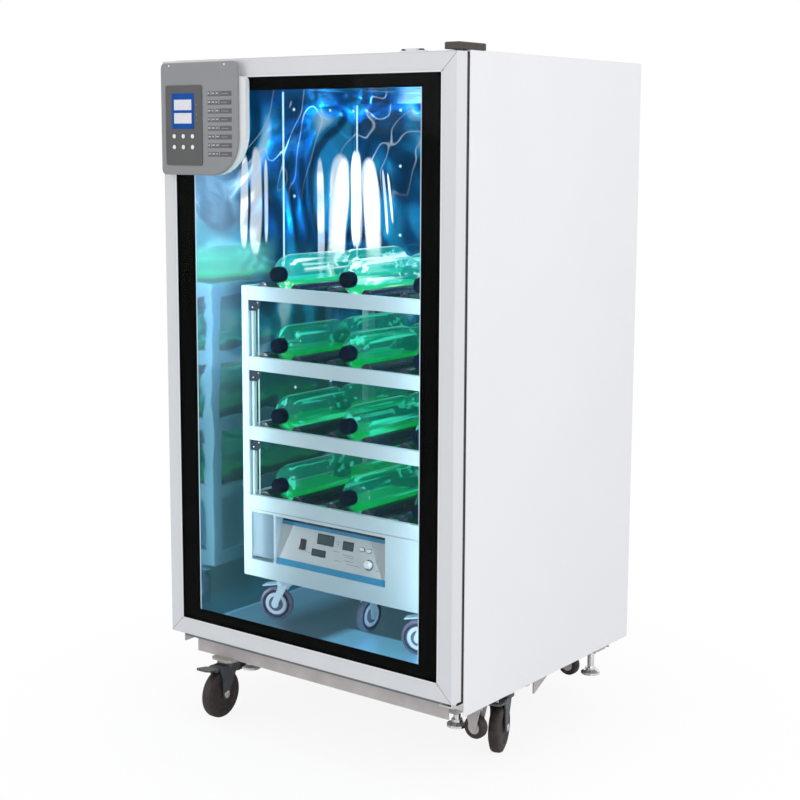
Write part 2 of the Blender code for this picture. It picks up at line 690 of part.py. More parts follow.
def add_legs(bm, size, matrix=None, ears=False):
    """Two cheeks that taper from the crown to the axle boss, and the axle."""
    top = size["top"]
    axle_z = size["floor"] + size["radius"]
    trail = size["trail"]
    boss = size["boss"]
    half = size["cheek_top"]
    inner = size["width"] / 2 + CHEEK_GAP
    outer = inner + CHEEK
    crown = size["crown"]
    side = [(half, top - crown / 2)]
    side += arc(-trail, axle_z, boss, 20, -200, 5)
    side.append((-half, top - crown * 1.4))
    if ears:
        reach = PEDAL_PIVOT + EAR
        side = side[:-1]
        side += [(-trail - boss, top - crown * 3.2), (-reach, top - crown * 1.5),
                 (-reach, top - crown / 2 + WELD)]
    side.append((-half, top - crown / 2))
    for low, high in ((-outer, -inner), (inner, outer)):
        add_prism(bm, side, "X", low, high, matrix)
    tip = outer + NUT_REACH
    place = at(0, -trail, axle_z, ALONG_X)
    if matrix is not None:
        place = matrix @ place
    add_turned(bm, cylinder(size["axle"], -tip, tip), SMALL, place)


def large_size(trail):
    """Sizes of a large caster, standing on the floor."""
    return {"radius": WHEEL_RADIUS, "width": WHEEL_WIDTH, "trail": trail, "floor": 0.0,
            "axle": AXLE_RADIUS, "boss": BOSS_RADIUS, "head": HEAD_RADIUS, "crown": CROWN_THICK,
            "cheek_top": CHEEK_TOP, "top": FORK_TOP}


def rack_size(trail):
    """Sizes of a rack caster, standing on the chamber floor."""
    return {"radius": RACK_WHEEL_RADIUS, "width": RACK_WHEEL_WIDTH, "trail": trail,
            "floor": RACK_FLOOR, "axle": RACK_AXLE, "boss": RACK_BOSS, "head": RACK_HEAD_RADIUS,
            "crown": RACK_CROWN_THICK, "cheek_top": RACK_CHEEK_TOP, "top": RACK_FORK_TOP}


def add_rigid_fork(bm, size, x, y, head_height):
    """A fork whose crown is riveted to the bearing head above it."""
    add_crown(bm, size, at(x, y, 0))
    add_legs(bm, size, at(x, y, 0))
    low = size["top"] - size["crown"] / 2
    high = size["top"] + head_height
    add_turned(bm, cylinder(size["head"] * RIVET_SHARE, low, high), SMALL, at(x, y, 0))


def add_small_caster(bm, x, y):
    """Transport caster: plate, two triangular cheeks, axle and wheel."""
    top = CHASSIS_BOTTOM
    low = top - SMALL_DROP
    axle_z = low + SMALL_WHEEL_RADIUS
    inner = SMALL_WHEEL_WIDTH / 2 + CHEEK_GAP
    outer = inner + CHEEK
    head = SMALL_HEAD
    reach = CROSS_BEAM_DEPTH / 2 - WELD
    add_block(bm, (x - head, y - reach, top - CHEEK), (x + head, y + reach, top + WELD))
    side = [(x + head - WELD, top - WELD)]
    side += arc(x, axle_z, SMALL_BOSS, -10, -170, 5)
    side.append((x - head + WELD, top - WELD))
    for start, end in ((y - outer, y - inner), (y + inner, y + outer)):
        add_prism(bm, side, "Y", start, end)
    half = SMALL_WHEEL_WIDTH / 2
    radius = SMALL_WHEEL_RADIUS
    axle = SMALL_AXLE_RADIUS
    tip = outer + NUT_REACH / 2
    add_turned(bm, cylinder(axle, -tip, tip), SMALL, at(x, y, axle_z, ALONG_Y))
    add_turned(bm, [(0, -half), (radius * 0.9, -half), (radius, -half / 2), (radius, half / 2),
                    (radius * 0.9, half), (0, half)], MEDIUM, at(x, y, axle_z, ALONG_Y))


def chassis_frame():
    """Welded base: pan, three cross beams, side rails, nuts, gusset and caster mountings."""
    bm = bmesh.new()
    add_block(bm, (-SKIN, CABINET_FRONT + FLANGE + TOUCH, CHASSIS_TOP - WELD),
              (SKIN, FOAM_BACK, PAN_TOP))
    frame = shape(bm, "chassis_frame", CHASSIS_PAINT)
    bm = bmesh.new()
    front_beam = CABINET_FRONT + FRONT_BEAM_SETBACK + FRONT_BEAM_DEPTH / 2
    add_channel_x(bm, front_beam, FRONT_BEAM_DEPTH, HALF_WIDTH - FRONT_BEAM_INSET)
    add_channel_x(bm, CROSS_BEAM_Y, CROSS_BEAM_DEPTH, HALF_WIDTH - CROSS_BEAM_INSET)
    add_channel_x(bm, REAR_BEAM_Y, CROSS_BEAM_DEPTH, HALF_WIDTH - CROSS_BEAM_INSET)
    into = CHANNEL_WALL / 2
    half = CROSS_BEAM_DEPTH / 2 - into
    rail_outer = HALF_WIDTH - RAIL_INSET
    for side in (-1, 1):
        ends = sorted((side * rail_outer, side * (rail_outer - RAIL_WIDTH)))
        section = channel(*ends)
        add_prism(bm, section, "Y", front_beam + FRONT_BEAM_DEPTH / 2 - into, CROSS_BEAM_Y - half)
        add_prism(bm, section, "Y", CROSS_BEAM_Y + half, REAR_BEAM_Y - half)
    start = CABINET_FRONT + FRONT_RIGHT_SETBACK + PEDAL_REACH + CHEEK
    low = CHASSIS_BOTTOM - GUSSET_DROP
    plate = [(start, CHASSIS_BOTTOM + WELD), (start, low), (start + GUSSET_EDGE, low),
             (start + GUSSET_LENGTH, CHASSIS_BOTTOM), (start + GUSSET_LENGTH, CHASSIS_BOTTOM + WELD)]
    add_prism(bm, plate, "X", rail_outer - GUSSET_THICK, rail_outer - WELD / 2)
    weld(frame, bm, "beams")
    bm = bmesh.new()
    for x, y in foot_places().values():
        add_foot_nut(bm, x, y)
    for corner, (x, y, _) in caster_places().items():
        add_head(bm, x, y, CHASSIS_BOTTOM, PLATE_THICK, PLATE_SIDE, PLATE_CORNER, HEAD_RADIUS,
                 HEAD_HEIGHT)
        if corner.startswith("rear"):
            add_rigid_fork(bm, large_size(0.0), x, y, HEAD_HEIGHT)
    for x, y in small_caster_places():
        add_small_caster(bm, x, y)
    weld(frame, bm, "mountings")


def add_wheel(bm, radius, width, axle, steps):
    """A caster wheel about X: crowned tyre, dished sides and a bored hub."""
    bore = polygon_bore(axle, RUNNING, steps)
    side = [(bore, width / 2), (radius * 0.7, width * 0.32), (radius * 0.78, width * 0.45),
            (radius, width * 0.22)]
    profile = side + [(r, -height) for r, height in reversed(side)] + side[:1]
    add_turned(bm, profile, steps, ALONG_X)


def hang(piece, joint):
    """Hang a piece that is modelled about its joint's origin on the joint."""
    piece.parent = joint
    piece.matrix_parent_inverse = Matrix.Identity(4)
    return piece


def caster_wheel(name, size, joint, material, steps, place=(0, 0)):
    """One wheel, its origin on its axle."""
    bm = bmesh.new()
    add_wheel(bm, size["radius"], size["width"], size["axle"], steps)
    wheel = shape(bm, name, material)
    wheel.location = (place[0], place[1] - size["trail"], size["floor"] + size["radius"])
    return hang(wheel, joint) if joint else wheel


def swivel_fork(name, size, joint, material, ears=False):
    """A fork that turns on its joint's empty."""
    crown = bmesh.new()
    add_crown(crown, size)
    fork = shape(crown, name, material)
    hang(fork, joint)
    legs = bmesh.new()
    add_legs(legs, size, None, ears)
    weld(fork, legs, name + "_legs")
    return fork


def large_casters():
    """Two swivelling casters with brakes in front; wheels for the rigid pair behind."""
    for corner, (x, y, heading) in caster_places().items():
        if corner.startswith("rear"):
            caster_wheel("caster_wheel_" + corner, large_size(0.0), None, TYRE_BLACK, ROUND, (x, y))
            continue
        size = large_size(CASTER_TRAIL)
        joint = pivot("swivel_" + corner, (x, y, 0.0), heading)
        caster_wheel("caster_wheel_" + corner, size, joint, TYRE_BLACK, ROUND)
        fork = swivel_fork("caster_fork_" + corner, size, joint, FORK_GREY, True)
        drill = bmesh.new()
        hole = polygon_bore(PEDAL_PIN, RUNNING, SMALL)
        pin_z = size["top"] - size["crown"] / 2 - WELD
        wide = WHEEL_WIDTH
        add_turned(drill, cylinder(hole, -wide, wide), SMALL, at(0, -PEDAL_PIVOT, pin_z, ALONG_X))
        cut(fork, drill, fork.name + "_pin_holes")
        brake_pedal(corner, joint, pin_z)


def brake_pedal(corner, joint, pin_z):
    """Foot pedal on a pin across the fork's ears, with a lug that bears on the tyre."""
    slot = WHEEL_WIDTH / 2 + CHEEK_GAP - TOUCH
    length = PEDAL_REACH - PEDAL_PIVOT
    half = PEDAL_WIDTH / 2
    neck = PEDAL_NECK
    tip = PEDAL_TIP
    heel = EAR
    plan = [(-slot, heel), (-slot, -neck), (-half, -neck - EAR), (-half, -length + heel),
            (-tip, -length), (tip, -length), (half, -length + heel), (half, -neck - EAR),
            (slot, -neck), (slot, heel)]
    blade = bmesh.new()
    add_prism(blade, plan, "Z", -PEDAL_THICK / 2, PEDAL_THICK / 2)
    for vert in blade.verts:
        along = max(0.0, -vert.co.y - neck) / (length - neck)
        vert.co.z += PEDAL_RISE * along
    pedal = shape(blade, "brake_pedal_" + corner, FORK_GREY)
    pedal.location = (0, -PEDAL_PIVOT, pin_z)
    hang(pedal, joint)
    fittings = bmesh.new()
    end = slot + TOUCH + CHEEK
    add_turned(fittings, cylinder(PEDAL_PIN, -end, end), SMALL, ALONG_X)
    add_block(fittings, (-half / 2, -neck, -LUG_DROP), (half / 2, -neck + LUG_LENGTH, 0))
    weld(pedal, fittings, pedal.name + "_pin")
    pedal.modifiers[-1].object.location = pedal.location


def levelling_feet():
    """Screw-down feet: rubber-soled pad and a thick stud in the chassis nut."""
    low = CHASSIS_BOTTOM - FOOT_DROP
    stud_top = FOOT_DROP + NUT_HEIGHT + STUD_ABOVE
    hex_radius = STUD_RADIUS * 1.5
    profile = [(0, 0), (PAD_RADIUS, 0), (PAD_RADIUS, PAD_HEIGHT * 0.5), (hex_radius, PAD_HEIGHT),
               (hex_radius, PAD_HEIGHT * 1.5), (STUD_RADIUS, PAD_HEIGHT * 1.5),
               (STUD_RADIUS, stud_top), (0, stud_top)]
    for corner, (x, y) in foot_places().items():
        bm = bmesh.new()
        add_turned(bm, profile, MEDIUM)
        foot = shape(bm, "levelling_foot_" + corner, CHROME)
        foot.location = (x, y, low)


def hinge_bracket():
    """Lower hinge: a folded leaf on the cabinet front with a collared pin."""
    x, y = HINGE
    right = HALF_WIDTH - COVER_INSET
    left = right - COVER_WIDTH
    leaf_top = DOOR_BOTTOM - COLLAR_HEIGHT
    back = CABINET_FRONT - TOUCH
    section = [(y - LEAF_NOSE, leaf_top - LEAF_THICK), (back - LEAF_THICK, leaf_top - LEAF_THICK),
               (back - LEAF_THICK, CHASSIS_TOP + WELD), (back, CHASSIS_TOP + WELD), (back, leaf_top),
               (y - LEAF_NOSE, leaf_top)]
    bm = bmesh.new()
    add_prism(bm, section, "X", left, right)
    bracket = shape(bm, "hinge_bracket", ZINC)
    pin = bmesh.new()
    seat = DOOR_BOTTOM - TOUCH
    add_turned(pin, [(0, leaf_top - WELD), (COLLAR, leaf_top - WELD), (COLLAR, seat),
                     (HINGE_PIN, seat), (HINGE_PIN, DOOR_BOTTOM + PIN_REACH),
                     (0, DOOR_BOTTOM + PIN_REACH)], SMALL, at(x, y, 0))
    weld(bracket, pin, "lower_pin")


def upper_hinge():
    """Upper hinge leaf and pin under a dark moulded cap."""
    x, y = HINGE
    right = HALF_WIDTH - COVER_INSET
    left = right - COVER_WIDTH
    front = DOOR_FRONT + COVER_LEAD
    back = front + COVER_LENGTH
    low = CABINET_TOP + TOUCH
    high = low + COVER_HEIGHT
    edge = COVER_WALL
    wall = COVER_WALL
    loops = []
    for inset, z in ((0, low), (0, high - edge), (edge, high)):
        loops.append([(u, v, z) for u, v in rectangle(left + inset, front + inset, right - inset,
                                                      back - inset)])
    bm = bmesh.new()
    add_loops(bm, loops, False)
    hinge = shape(bm, "upper_hinge", COVER_BROWN)
    well = bmesh.new()
    add_block(well, (left + wall, front + wall, low - wall), (right - wall, back - wall, high - wall))
    cut(hinge, well, "cover_well")
    leaf = bmesh.new()
    leaf_low = low + WELD / 2
    grip = wall - WELD
    add_block(leaf, (left + 2 * wall, front + grip, leaf_low),
              (right - grip, back - 2 * wall, leaf_low + LEAF_THICK))
    pin_low = DOOR_TOP - PIN_REACH
    add_turned(leaf, [(0, pin_low), (HINGE_PIN, pin_low), (HINGE_PIN, DOOR_TOP + TOUCH),
                      (COLLAR, DOOR_TOP + TOUCH), (COLLAR, leaf_low + WELD), (0, leaf_low + WELD)],
               SMALL, at(x, y, 0))
    weld(hinge, leaf, "upper_leaf")


def door_loops(steps):
    """Rectangular loops round the door from (inset at the sides, at the ends, depth)."""
    loops = []
    for side, end, depth in steps:
        outline = rectangle(-HALF_WIDTH + side, DOOR_BOTTOM + end, HALF_WIDTH - side, DOOR_TOP - end)
        loops.append([(x, DOOR_FRONT + depth, z) for x, z in outline])
    return loops


def glass_stack():
    """Depth of each layer of the glass behind the door's front face."""
    outer = LIP_THICK + TOUCH
    border = outer + PANE + TOUCH
    inner = border + PANE_GAP + TOUCH
    return outer, border, inner


def door_frame(joint):
    """Aluminium frame with a groove for the glass and a fine lip round it."""
    bead = glass_stack()[2] + PANE + TOUCH
    groove = FRAME_FACE - PANE_BITE - TOUCH
    step = FRAME_FACE - LIP_WIDTH
    chamfer = FRAME_CHAMFER
    section = [(0, chamfer), (chamfer, 0), (step, 0), (step, LIP_STEP), (FRAME_FACE, LIP_STEP),
               (FRAME_FACE, LIP_THICK), (groove, LIP_THICK), (groove, bead), (FRAME_FACE, bead),
               (FRAME_FACE, DOOR_THICK), (0, DOOR_THICK)]
    bm = bmesh.new()
    add_loops(bm, door_loops([(inset, inset, depth) for inset, depth in section]), True)
    frame = shape(bm, "door_frame", ALUMINIUM, joint)
    drill = bmesh.new()
    hole = polygon_bore(HINGE_PIN, RUNNING, SMALL)
    deep = PIN_REACH + RUNNING
    for low, high in ((DOOR_BOTTOM - deep, DOOR_BOTTOM + deep), (DOOR_TOP - deep, DOOR_TOP + deep)):
        add_turned(drill, cylinder(hole, low, high), SMALL, at(*HINGE, 0))
    cut(frame, drill, "pin_holes")


def door_glass(joint):
    """Outer pane, dark edge spacer with its wide border, inner pane."""
    outer, border, inner = glass_stack()
    edge = FRAME_FACE - PANE_BITE
    for name, depth in (("outer_pane", outer), ("inner_pane", inner)):
        bm = bmesh.new()
        add_loops(bm, door_loops([(edge, edge, depth), (edge, edge, depth + PANE)]), False)
        shape(bm, name, CLEAR_GLASS, joint)
    side = FRAME_FACE + BORDER_SIDE
    end = FRAME_FACE + BORDER_END
    wall = edge + SPACER_WALL
    sheet = border + BORDER_SHEET
    back = border + PANE_GAP
    steps = [(edge, edge, border), (side, end, border), (side, end, sheet), (wall, wall, sheet),
             (wall, wall, back), (edge, edge, back)]
    bm = bmesh.new()
    add_loops(bm, door_loops(steps), True)
    shape(bm, "glass_border", BLACK_BORDER, joint)


def door_gasket(joint):
    """Bellows seal round the back of the door, waisted half way."""
    start = DOOR_THICK + TOUCH
    end = DOOR_THICK + GASKET_GAP - TOUCH
    waist = (start + end) / 2
    outer = GASKET_INSET
    inner = GASKET_INSET + GASKET_WIDTH
    pinch = GASKET_WIDTH / 6
    section = [(outer, start), (outer + pinch, waist), (outer, end), (inner, end),
               (inner - pinch, waist), (inner, start)]
    bm = bmesh.new()
    add_loops(bm, door_loops([(inset, inset, depth) for inset, depth in section]), True)
    shape(bm, "door_gasket", GASKET_GREY, joint)


def panel_outline(rim):
    """Outline of the control panel; the base has a rim at the right, the cover none."""
    left = -HALF_WIDTH + PANEL_LEFT
    top = DOOR_TOP - PANEL_DROP
    right = left + PANEL_WIDTH
    low = top - PANEL_HEIGHT
    small = PANEL_CORNER
    sweep = PANEL_SWEEP + rim
    far = right + rim
    points = arc(left + small, low + small, small, 180, 270, 3)
    points += arc(far - sweep, low + sweep, sweep, 270, 360, 8)
    if rim:
        shoulder = top - RIM_DROP
        points += arc(far - small, shoulder - small, small, 0, 90, 3)
        points.append((right - small, shoulder))
        points.append((right - small, top - small))
    else:
        points += arc(right - small, top - small, small, 0, 90, 3)
    points += arc(left + small, top - small, small, 90, 180, 3)
    return points


def key_places():
    """Name, x and z of each key, row by row."""
    face_left = -HALF_WIDTH + PANEL_LEFT + FACE_LEFT
    face_top = DOOR_TOP - PANEL_DROP - FACE_DROP
    for row in range(KEY_ROWS):
        for column in range(KEY_COLUMNS):
            yield (f"key_{row + 1}_{column + 1}",
                   face_left + KEY_FIRST_X + column * KEY_PITCH_X,
                   face_top - KEY_FIRST_DROP - row * KEY_PITCH_Z)


def control_panel(joint):
    """White base, grey cover with a swept corner, dark faceplate and push keys."""
    base_front = DOOR_FRONT - TOUCH - BASE_THICK
    cover_front = base_front - TOUCH - COVER_THICK
    face_front = cover_front - TOUCH - FACE_THICK
    bm = bmesh.new()
    add_prism(bm, panel_outline(PANEL_RIM), "Y", base_front, DOOR_FRONT - TOUCH)
    shape(bm, "panel_base", PANEL_WHITE, joint)
    bm = bmesh.new()
    add_prism(bm, panel_outline(0.0), "Y", cover_front, base_front - TOUCH)
    rim = [edge for edge in bm.edges
           if all(abs(vert.co.y - cover_front) < TOUCH for vert in edge.verts)]
    bmesh.ops.bevel(bm, geom=rim, offset=PANEL_EDGE, segments=1, affect="EDGES")
    cover = shape(bm, "panel_cover", PANEL_GREY, joint)
    face_left = -HALF_WIDTH + PANEL_LEFT + FACE_LEFT
    face_top = DOOR_TOP - PANEL_DROP - FACE_DROP
    bm = bmesh.new()
    add_prism(bm, rounded(face_left, face_top - FACE_HEIGHT, face_left + FACE_WIDTH, face_top,
                          FACE_CORNER), "Y", face_front, cover_front - TOUCH)
    face = shape(bm, "panel_faceplate", FACE_GREY, joint)
    hole = polygon_bore(KEY_RADIUS, RUNNING, SMALL)
    depth = FACE_THICK + KEY_SKIRT
    pocket = depth + KEY_TRAVEL + TOUCH
    for target in (cover, face):
        drill = bmesh.new()
        for _, x, z in key_places():
            add_turned(drill, cylinder(hole, -pocket, pocket), SMALL, at(x, face_front, z, ALONG_Y))
        cut(target, drill, target.name + "_key_holes")
    for name, x, z in key_places():
        bm = bmesh.new()
        edge = KEY_PROUD * 0.6
        add_turned(bm, [(0, -KEY_PROUD), (KEY_RADIUS - edge, -KEY_PROUD), (KEY_RADIUS, edge - KEY_PROUD),
                        (KEY_RADIUS, depth), (0, depth)], SMALL, ALONG_Y)
        key = shape(bm, name, KEY_WHITE)
        key.location = Vector((x, face_front, z)) - joint.location
        hang(key, joint)


def duct_box():
    """Front, bottom and top of the air duct."""
    return CHAMBER_BACK - DUCT_DEPTH, FLOOR_TOP + DUCT_RAISE, CHAMBER_TOP - DUCT_DROP


def fan_centre():
    """Axis of the fan behind the duct's face."""
    return 0.0, duct_box()[2] - FAN_DROP


def air_duct():
    """Steel tray over the back wall with intake and outlet slots."""
    front, low, high = duct_box()
    half = CHAMBER_HALF - TOUCH
    sheet = DUCT_SHEET
    back = CHAMBER_BACK - TOUCH
    loops = []
    for inset, y in ((sheet, front + sheet), (sheet, back), (0, back), (0, front)):
        loops.append([(x, y, z) for x, z in rectangle(-half + inset, low + inset, half - inset,
                                                      high - inset)])
    bm = bmesh.new()
    add_loops(bm, loops, False)
    duct = shape(bm, "air_duct", MIRROR_STEEL)
    slots = bmesh.new()
    x, z = fan_centre()
    for i in range(INTAKE_SLOTS):
        rise = (i - (INTAKE_SLOTS - 1) / 2) * SLOT_PITCH
        reach = math.sqrt(max(FAN_RADIUS ** 2 - rise ** 2, (FAN_RADIUS / 3) ** 2))
        add_block(slots, (x - reach, front - sheet, z + rise - SLOT_HEIGHT / 2),
                  (x + reach, front + 2 * sheet, z + rise + SLOT_HEIGHT / 2))
    for side in (-OUTLET_X, OUTLET_X):
        for i in range(OUTLET_SLOTS):
            rise = low + OUTLET_RAISE + i * SLOT_PITCH
            add_block(slots, (side - SLOT_LENGTH / 2, front - sheet, rise),
                      (side + SLOT_LENGTH / 2, front + 2 * sheet, rise + SLOT_HEIGHT))
    cut(duct, slots, "duct_slots")


def fan_rotor():
    """Axial fan: hub bored for the motor shaft and pitched blades."""
    x, z = fan_centre()
    joint = pivot("fan_spin", (x, CHAMBER_BACK - MOTOR_LENGTH - TOUCH, z))
    bore = polygon_bore(SHAFT_RADIUS, RUNNING, MEDIUM)
    deep = FAN_HUB_LENGTH * 0.8
    edge = FAN_HUB_LENGTH * 0.15
    bm = bmesh.new()
    add_turned(bm, [(bore, 0), (FAN_HUB_RADIUS, 0), (FAN_HUB_RADIUS, FAN_HUB_LENGTH - edge),
                    (FAN_HUB_RADIUS - edge, FAN_HUB_LENGTH), (0, FAN_HUB_LENGTH), (0, deep),
                    (bore, deep), (bore, 0)], MEDIUM, AGAINST_Y)
    rotor = shape(bm, "fan_rotor", FAN_BLACK)
    hang(rotor, joint)
    blades = bmesh.new()
    root = FAN_HUB_RADIUS * 0.85
    tip = FAN_RADIUS - FAN_TIP_GAP
    chord = BLADE_CHORD / 2
    wide = chord * BLADE_FLARE
    lift = Matrix.Translation((0, -FAN_HUB_LENGTH * 0.75, 0)) @ Matrix.Rotation(FAN_PITCH, 4, "X")
    for i in range(FAN_BLADES):
        spin = Matrix.Rotation(2 * math.pi * i / FAN_BLADES, 4, "Y")
        outline = [(root, -chord), (tip, -wide), (tip, wide), (root, chord)]
        add_prism(blades, outline, "Y", -BLADE_THICK / 2, BLADE_THICK / 2, spin @ lift)
    weld(rotor, blades, "blades")


def add_rack_rails(bm):
    """Front and back channel of each tier between the stiles."""
    half = RACK_WIDTH / 2 - STILE_WIDTH + WELD
    sheet = RAIL_SHEET
    for top in TIER_TOPS:
        low = top - RAIL_HEIGHT
        for web, inward in ((RACK_FRONT + RAIL_RECESS, 1), (RACK_BACK - RAIL_RECESS, -1)):
            lip = web + inward * RAIL_DEPTH
            skin = web + inward * sheet
            section = [(web, low), (lip, low), (lip, low + sheet), (skin, low + sheet),
                       (skin, top - sheet), (lip, top - sheet), (lip, top), (web, top)]
            add_prism(bm, section, "X", -half, half)


def add_rollers(bm):
    """Pairs of rollers under each lane, their shafts held in the rails."""
    into = RAIL_RECESS + RAIL_SHEET / 2
    body = RAIL_RECESS + RAIL_DEPTH + ROLLER_END
    for top in TIER_TOPS:
        for x in LANE_X:
            for side in (-ROLLER_SPREAD, ROLLER_SPREAD):
                place = at(x + side, RACK_FRONT, top - ROLLER_DROP, ALONG_Y)
                add_turned(bm, cylinder(ROLLER_SHAFT, into, RACK_DEPTH - into), SHAFT, place)
                add_turned(bm, cylinder(ROLLER_RADIUS, body, RACK_DEPTH - body), SMALL, place)


def rack_frame(joint):
    """Welded frame: stiles, tier channels with their rollers, side bars and the rear forks."""
    half = RACK_WIDTH / 2
    top = TIER_TOPS[-1] + RAIL_RECESS
    bm = bmesh.new()
    add_block(bm, (-half, RACK_FRONT, RACK_BOTTOM), (-half + STILE_WIDTH, RACK_FRONT + STILE_DEPTH, top))
    frame = shape(bm, "rack_frame", RACK_PAINT, joint)
    bm = bmesh.new()
    for side in (-1, 1):
        outer = side * half
        stile = sorted((outer, side * (half - STILE_WIDTH)))
        bar = sorted((outer - side * RAIL_RECESS, side * (half - SIDE_BAR)))
        add_block(bm, (stile[0], RACK_BACK - STILE_DEPTH, RACK_BOTTOM), (stile[1], RACK_BACK, top))
        if side > 0:
            add_block(bm, (stile[0], RACK_FRONT, RACK_BOTTOM), (stile[1], RACK_FRONT + STILE_DEPTH, top))
        for low in [level - RAIL_HEIGHT for level in TIER_TOPS] + [RACK_BOTTOM + RAIL_RECESS]:
            add_block(bm, (bar[0], RACK_FRONT + STILE_DEPTH - WELD, low),
                      (bar[1], RACK_BACK - STILE_DEPTH + WELD, low + RAIL_HEIGHT))
    rod_x = -half + STILE_WIDTH + ROD_GAP + ROD_RADIUS
    rod_y = RACK_FRONT + RAIL_RECESS + RAIL_DEPTH - ROD_RADIUS
    for low, high in zip(TIER_TOPS, TIER_TOPS[1:]):
        add_turned(bm, cylinder(ROD_RADIUS, low - WELD, high - RAIL_HEIGHT + WELD), SMALL,
                   at(rod_x, rod_y, 0))
    bar_middle = RACK_BACK - RACK_REAR_INSET
    inside = half - SIDE_BAR + WELD
    add_block(bm, (-inside, bar_middle - RACK_REAR_BAR / 2, RACK_BOTTOM),
              (inside, bar_middle + RACK_REAR_BAR / 2, RACK_BOTTOM + SIDE_BAR))
    for x, y in rack_rear_places():
        add_head(bm, x, y, RACK_BOTTOM, RACK_PLATE, RACK_REAR_BAR - WELD, RACK_PLATE_CORNER,
                 RACK_HEAD_RADIUS, RACK_HEAD_HEIGHT)
        add_rigid_fork(bm, rack_size(0.0), x, y, RACK_HEAD_HEIGHT)
    add_rack_rails(bm)
    weld(frame, bm, "rack_welding")
    bm = bmesh.new()
    add_rollers(bm)
    weld(frame, bm, "rack_rollers")


def rack_rear_places():
    """Plan positions of the rack's two rigid rear casters."""
    y = RACK_BACK - RACK_REAR_INSET
    return [(-RACK_REAR_X, y), (RACK_REAR_X, y)]


def rack_front_places():
    """Plan positions of the rack's swivelling casters."""
    y = RACK_FRONT + RACK_FRONT_SETBACK
    return {"left": (-RACK_FRONT_X, y), "right": (RACK_FRONT_X, y)}


def rack_middle_place():
    """Plan position of the fixed caster in the middle."""
    return 0.0, RACK_FRONT + RACK_MIDDLE_SETBACK


def rack_casters(rack):
    """Swivelling forks and all five wheels of the rack."""
    size = rack_size(RACK_TRAIL)
    steps = WHEEL
    for corner, (x, y) in rack_front_places().items():
        joint = pivot("rack_swivel_" + corner, (x, y, 0.0), RACK_HEADING)
        swivel_fork("rack_fork_" + corner, size, joint, ZINC)
        caster_wheel("rack_wheel_" + corner, size, joint, RACK_TYRE, steps)
    fixed = rack_size(0.0)
    places = {"middle": rack_middle_place()}
    places["rear_left"], places["rear_right"] = rack_rear_places()
    for corner, place in places.items():
        wheel = caster_wheel("rack_wheel_" + corner, fixed, None, RACK_TYRE, steps, place)
        wheel.parent = rack
        wheel.matrix_parent_inverse = rack.matrix_world.inverted()


def lane_profile():
    """Half section of the bottles in one lane, cap to base, as (radius, distance back)."""
    points = [(0, 0)]
    for row in range(BOTTLE_ROWS):
        start = row * BOTTLE_LENGTH
        body = start + CAP_LENGTH + BOTTLE_SHOULDER
        end = start + BOTTLE_LENGTH
        points += [(CAP_RADIUS, start), (CAP_RADIUS, start + CAP_LENGTH),
                   (BOTTLE_WAIST, body - BOTTLE_SHOULDER / 2), (BOTTLE_RADIUS, body),
                   (BOTTLE_RADIUS, end)]
    points.append((0, end))
    return points


def bottle_lanes(rack):
    """Roller bottles lying end to end on their rollers, caps to the door."""
    for tier, top in enumerate(TIER_TOPS, 1):
        for lane, x in enumerate(LANE_X, 1):
            bm = bmesh.new()
            add_turned(bm, lane_profile(), SMALL, ALONG_Y)
            bottles = shape(bm, f"bottle_lane_{tier}_{lane}", BOTTLE_GREEN)
            place = Vector((x, RACK_FRONT + BOTTLE_START, top - ROLLER_DROP + BOTTLE_RISE))
            bottles.location = place - rack.location
            hang(bottles, rack)


def fascia_plane():
    """Matrix from the fascia's own plane (x right, y into the rack, z up it) to the world."""
    tilt = math.atan2(FASCIA_TILT, FASCIA_HEIGHT)
    foot = (-RACK_WIDTH / 2 + FASCIA_LEFT, RACK_FRONT + WELD, RACK_BOTTOM + FASCIA_RAISE)
    return Matrix.Translation(foot) @ Matrix.Rotation(-tilt, 4, "X")


def control_box(joint):
    """Drive housing at the foot of the rack: tilted recess, side pocket, front caster plates."""
    half = RACK_WIDTH / 2 - STILE_WIDTH - TOUCH
    bm = bmesh.new()
    add_block(bm, (-half, RACK_FRONT, RACK_BOTTOM),
              (half, RACK_FRONT + BOX_DEPTH, RACK_BOTTOM + BOX_HEIGHT))
    box = shape(bm, "control_box", RACK_PAINT, joint)
    plane = fascia_plane()
    deep = FASCIA_THICK + 2 * TOUCH
    recess = bmesh.new()
    add_block(recess, (0, -SLOPE, 0), (FASCIA_WIDTH, deep, SLOPE), plane)
    cut(box, recess, "fascia_recess")
    well = bmesh.new()
    margin = WELL_MARGIN
    add_block(well, (margin, 0, margin),
              (FASCIA_WIDTH - margin, CONTROL_DEPTH * 2, SLOPE - margin / 2), plane)
    left = -RACK_WIDTH / 2 + POCKET_LEFT
    low = RACK_BOTTOM + POCKET_RAISE
    add_block(well, (left, RACK_FRONT - POCKET_DEPTH, low),
              (left + POCKET_WIDTH, RACK_FRONT + POCKET_DEPTH, low + POCKET_HEIGHT))
    cut(box, well, "box_hollows")
    mounts = bmesh.new()
    for x, y in list(rack_front_places().values()) + [rack_middle_place()]:
        add_head(mounts, x, y, RACK_BOTTOM, RACK_PLATE, RACK_PLATE_SIDE, RACK_PLATE_CORNER,
                 RACK_HEAD_RADIUS, RACK_HEAD_HEIGHT)
    add_rigid_fork(mounts, rack_size(0.0), *rack_middle_place(), RACK_HEAD_HEIGHT)
    weld(box, mounts, "caster_mounts")


def on_fascia(name, spot, bm, material, rack):
    """Hang a control, modelled in the fascia's plane, on an empty at its own place there."""
    plane = fascia_plane()
    centre = plane @ Vector((spot[0], TOUCH, spot[1]))
    piece = shape(bm, name, material)
    piece.data.transform(plane.to_3x3().to_4x4())
    piece.location = centre - rack.location
    return hang(piece, rack)


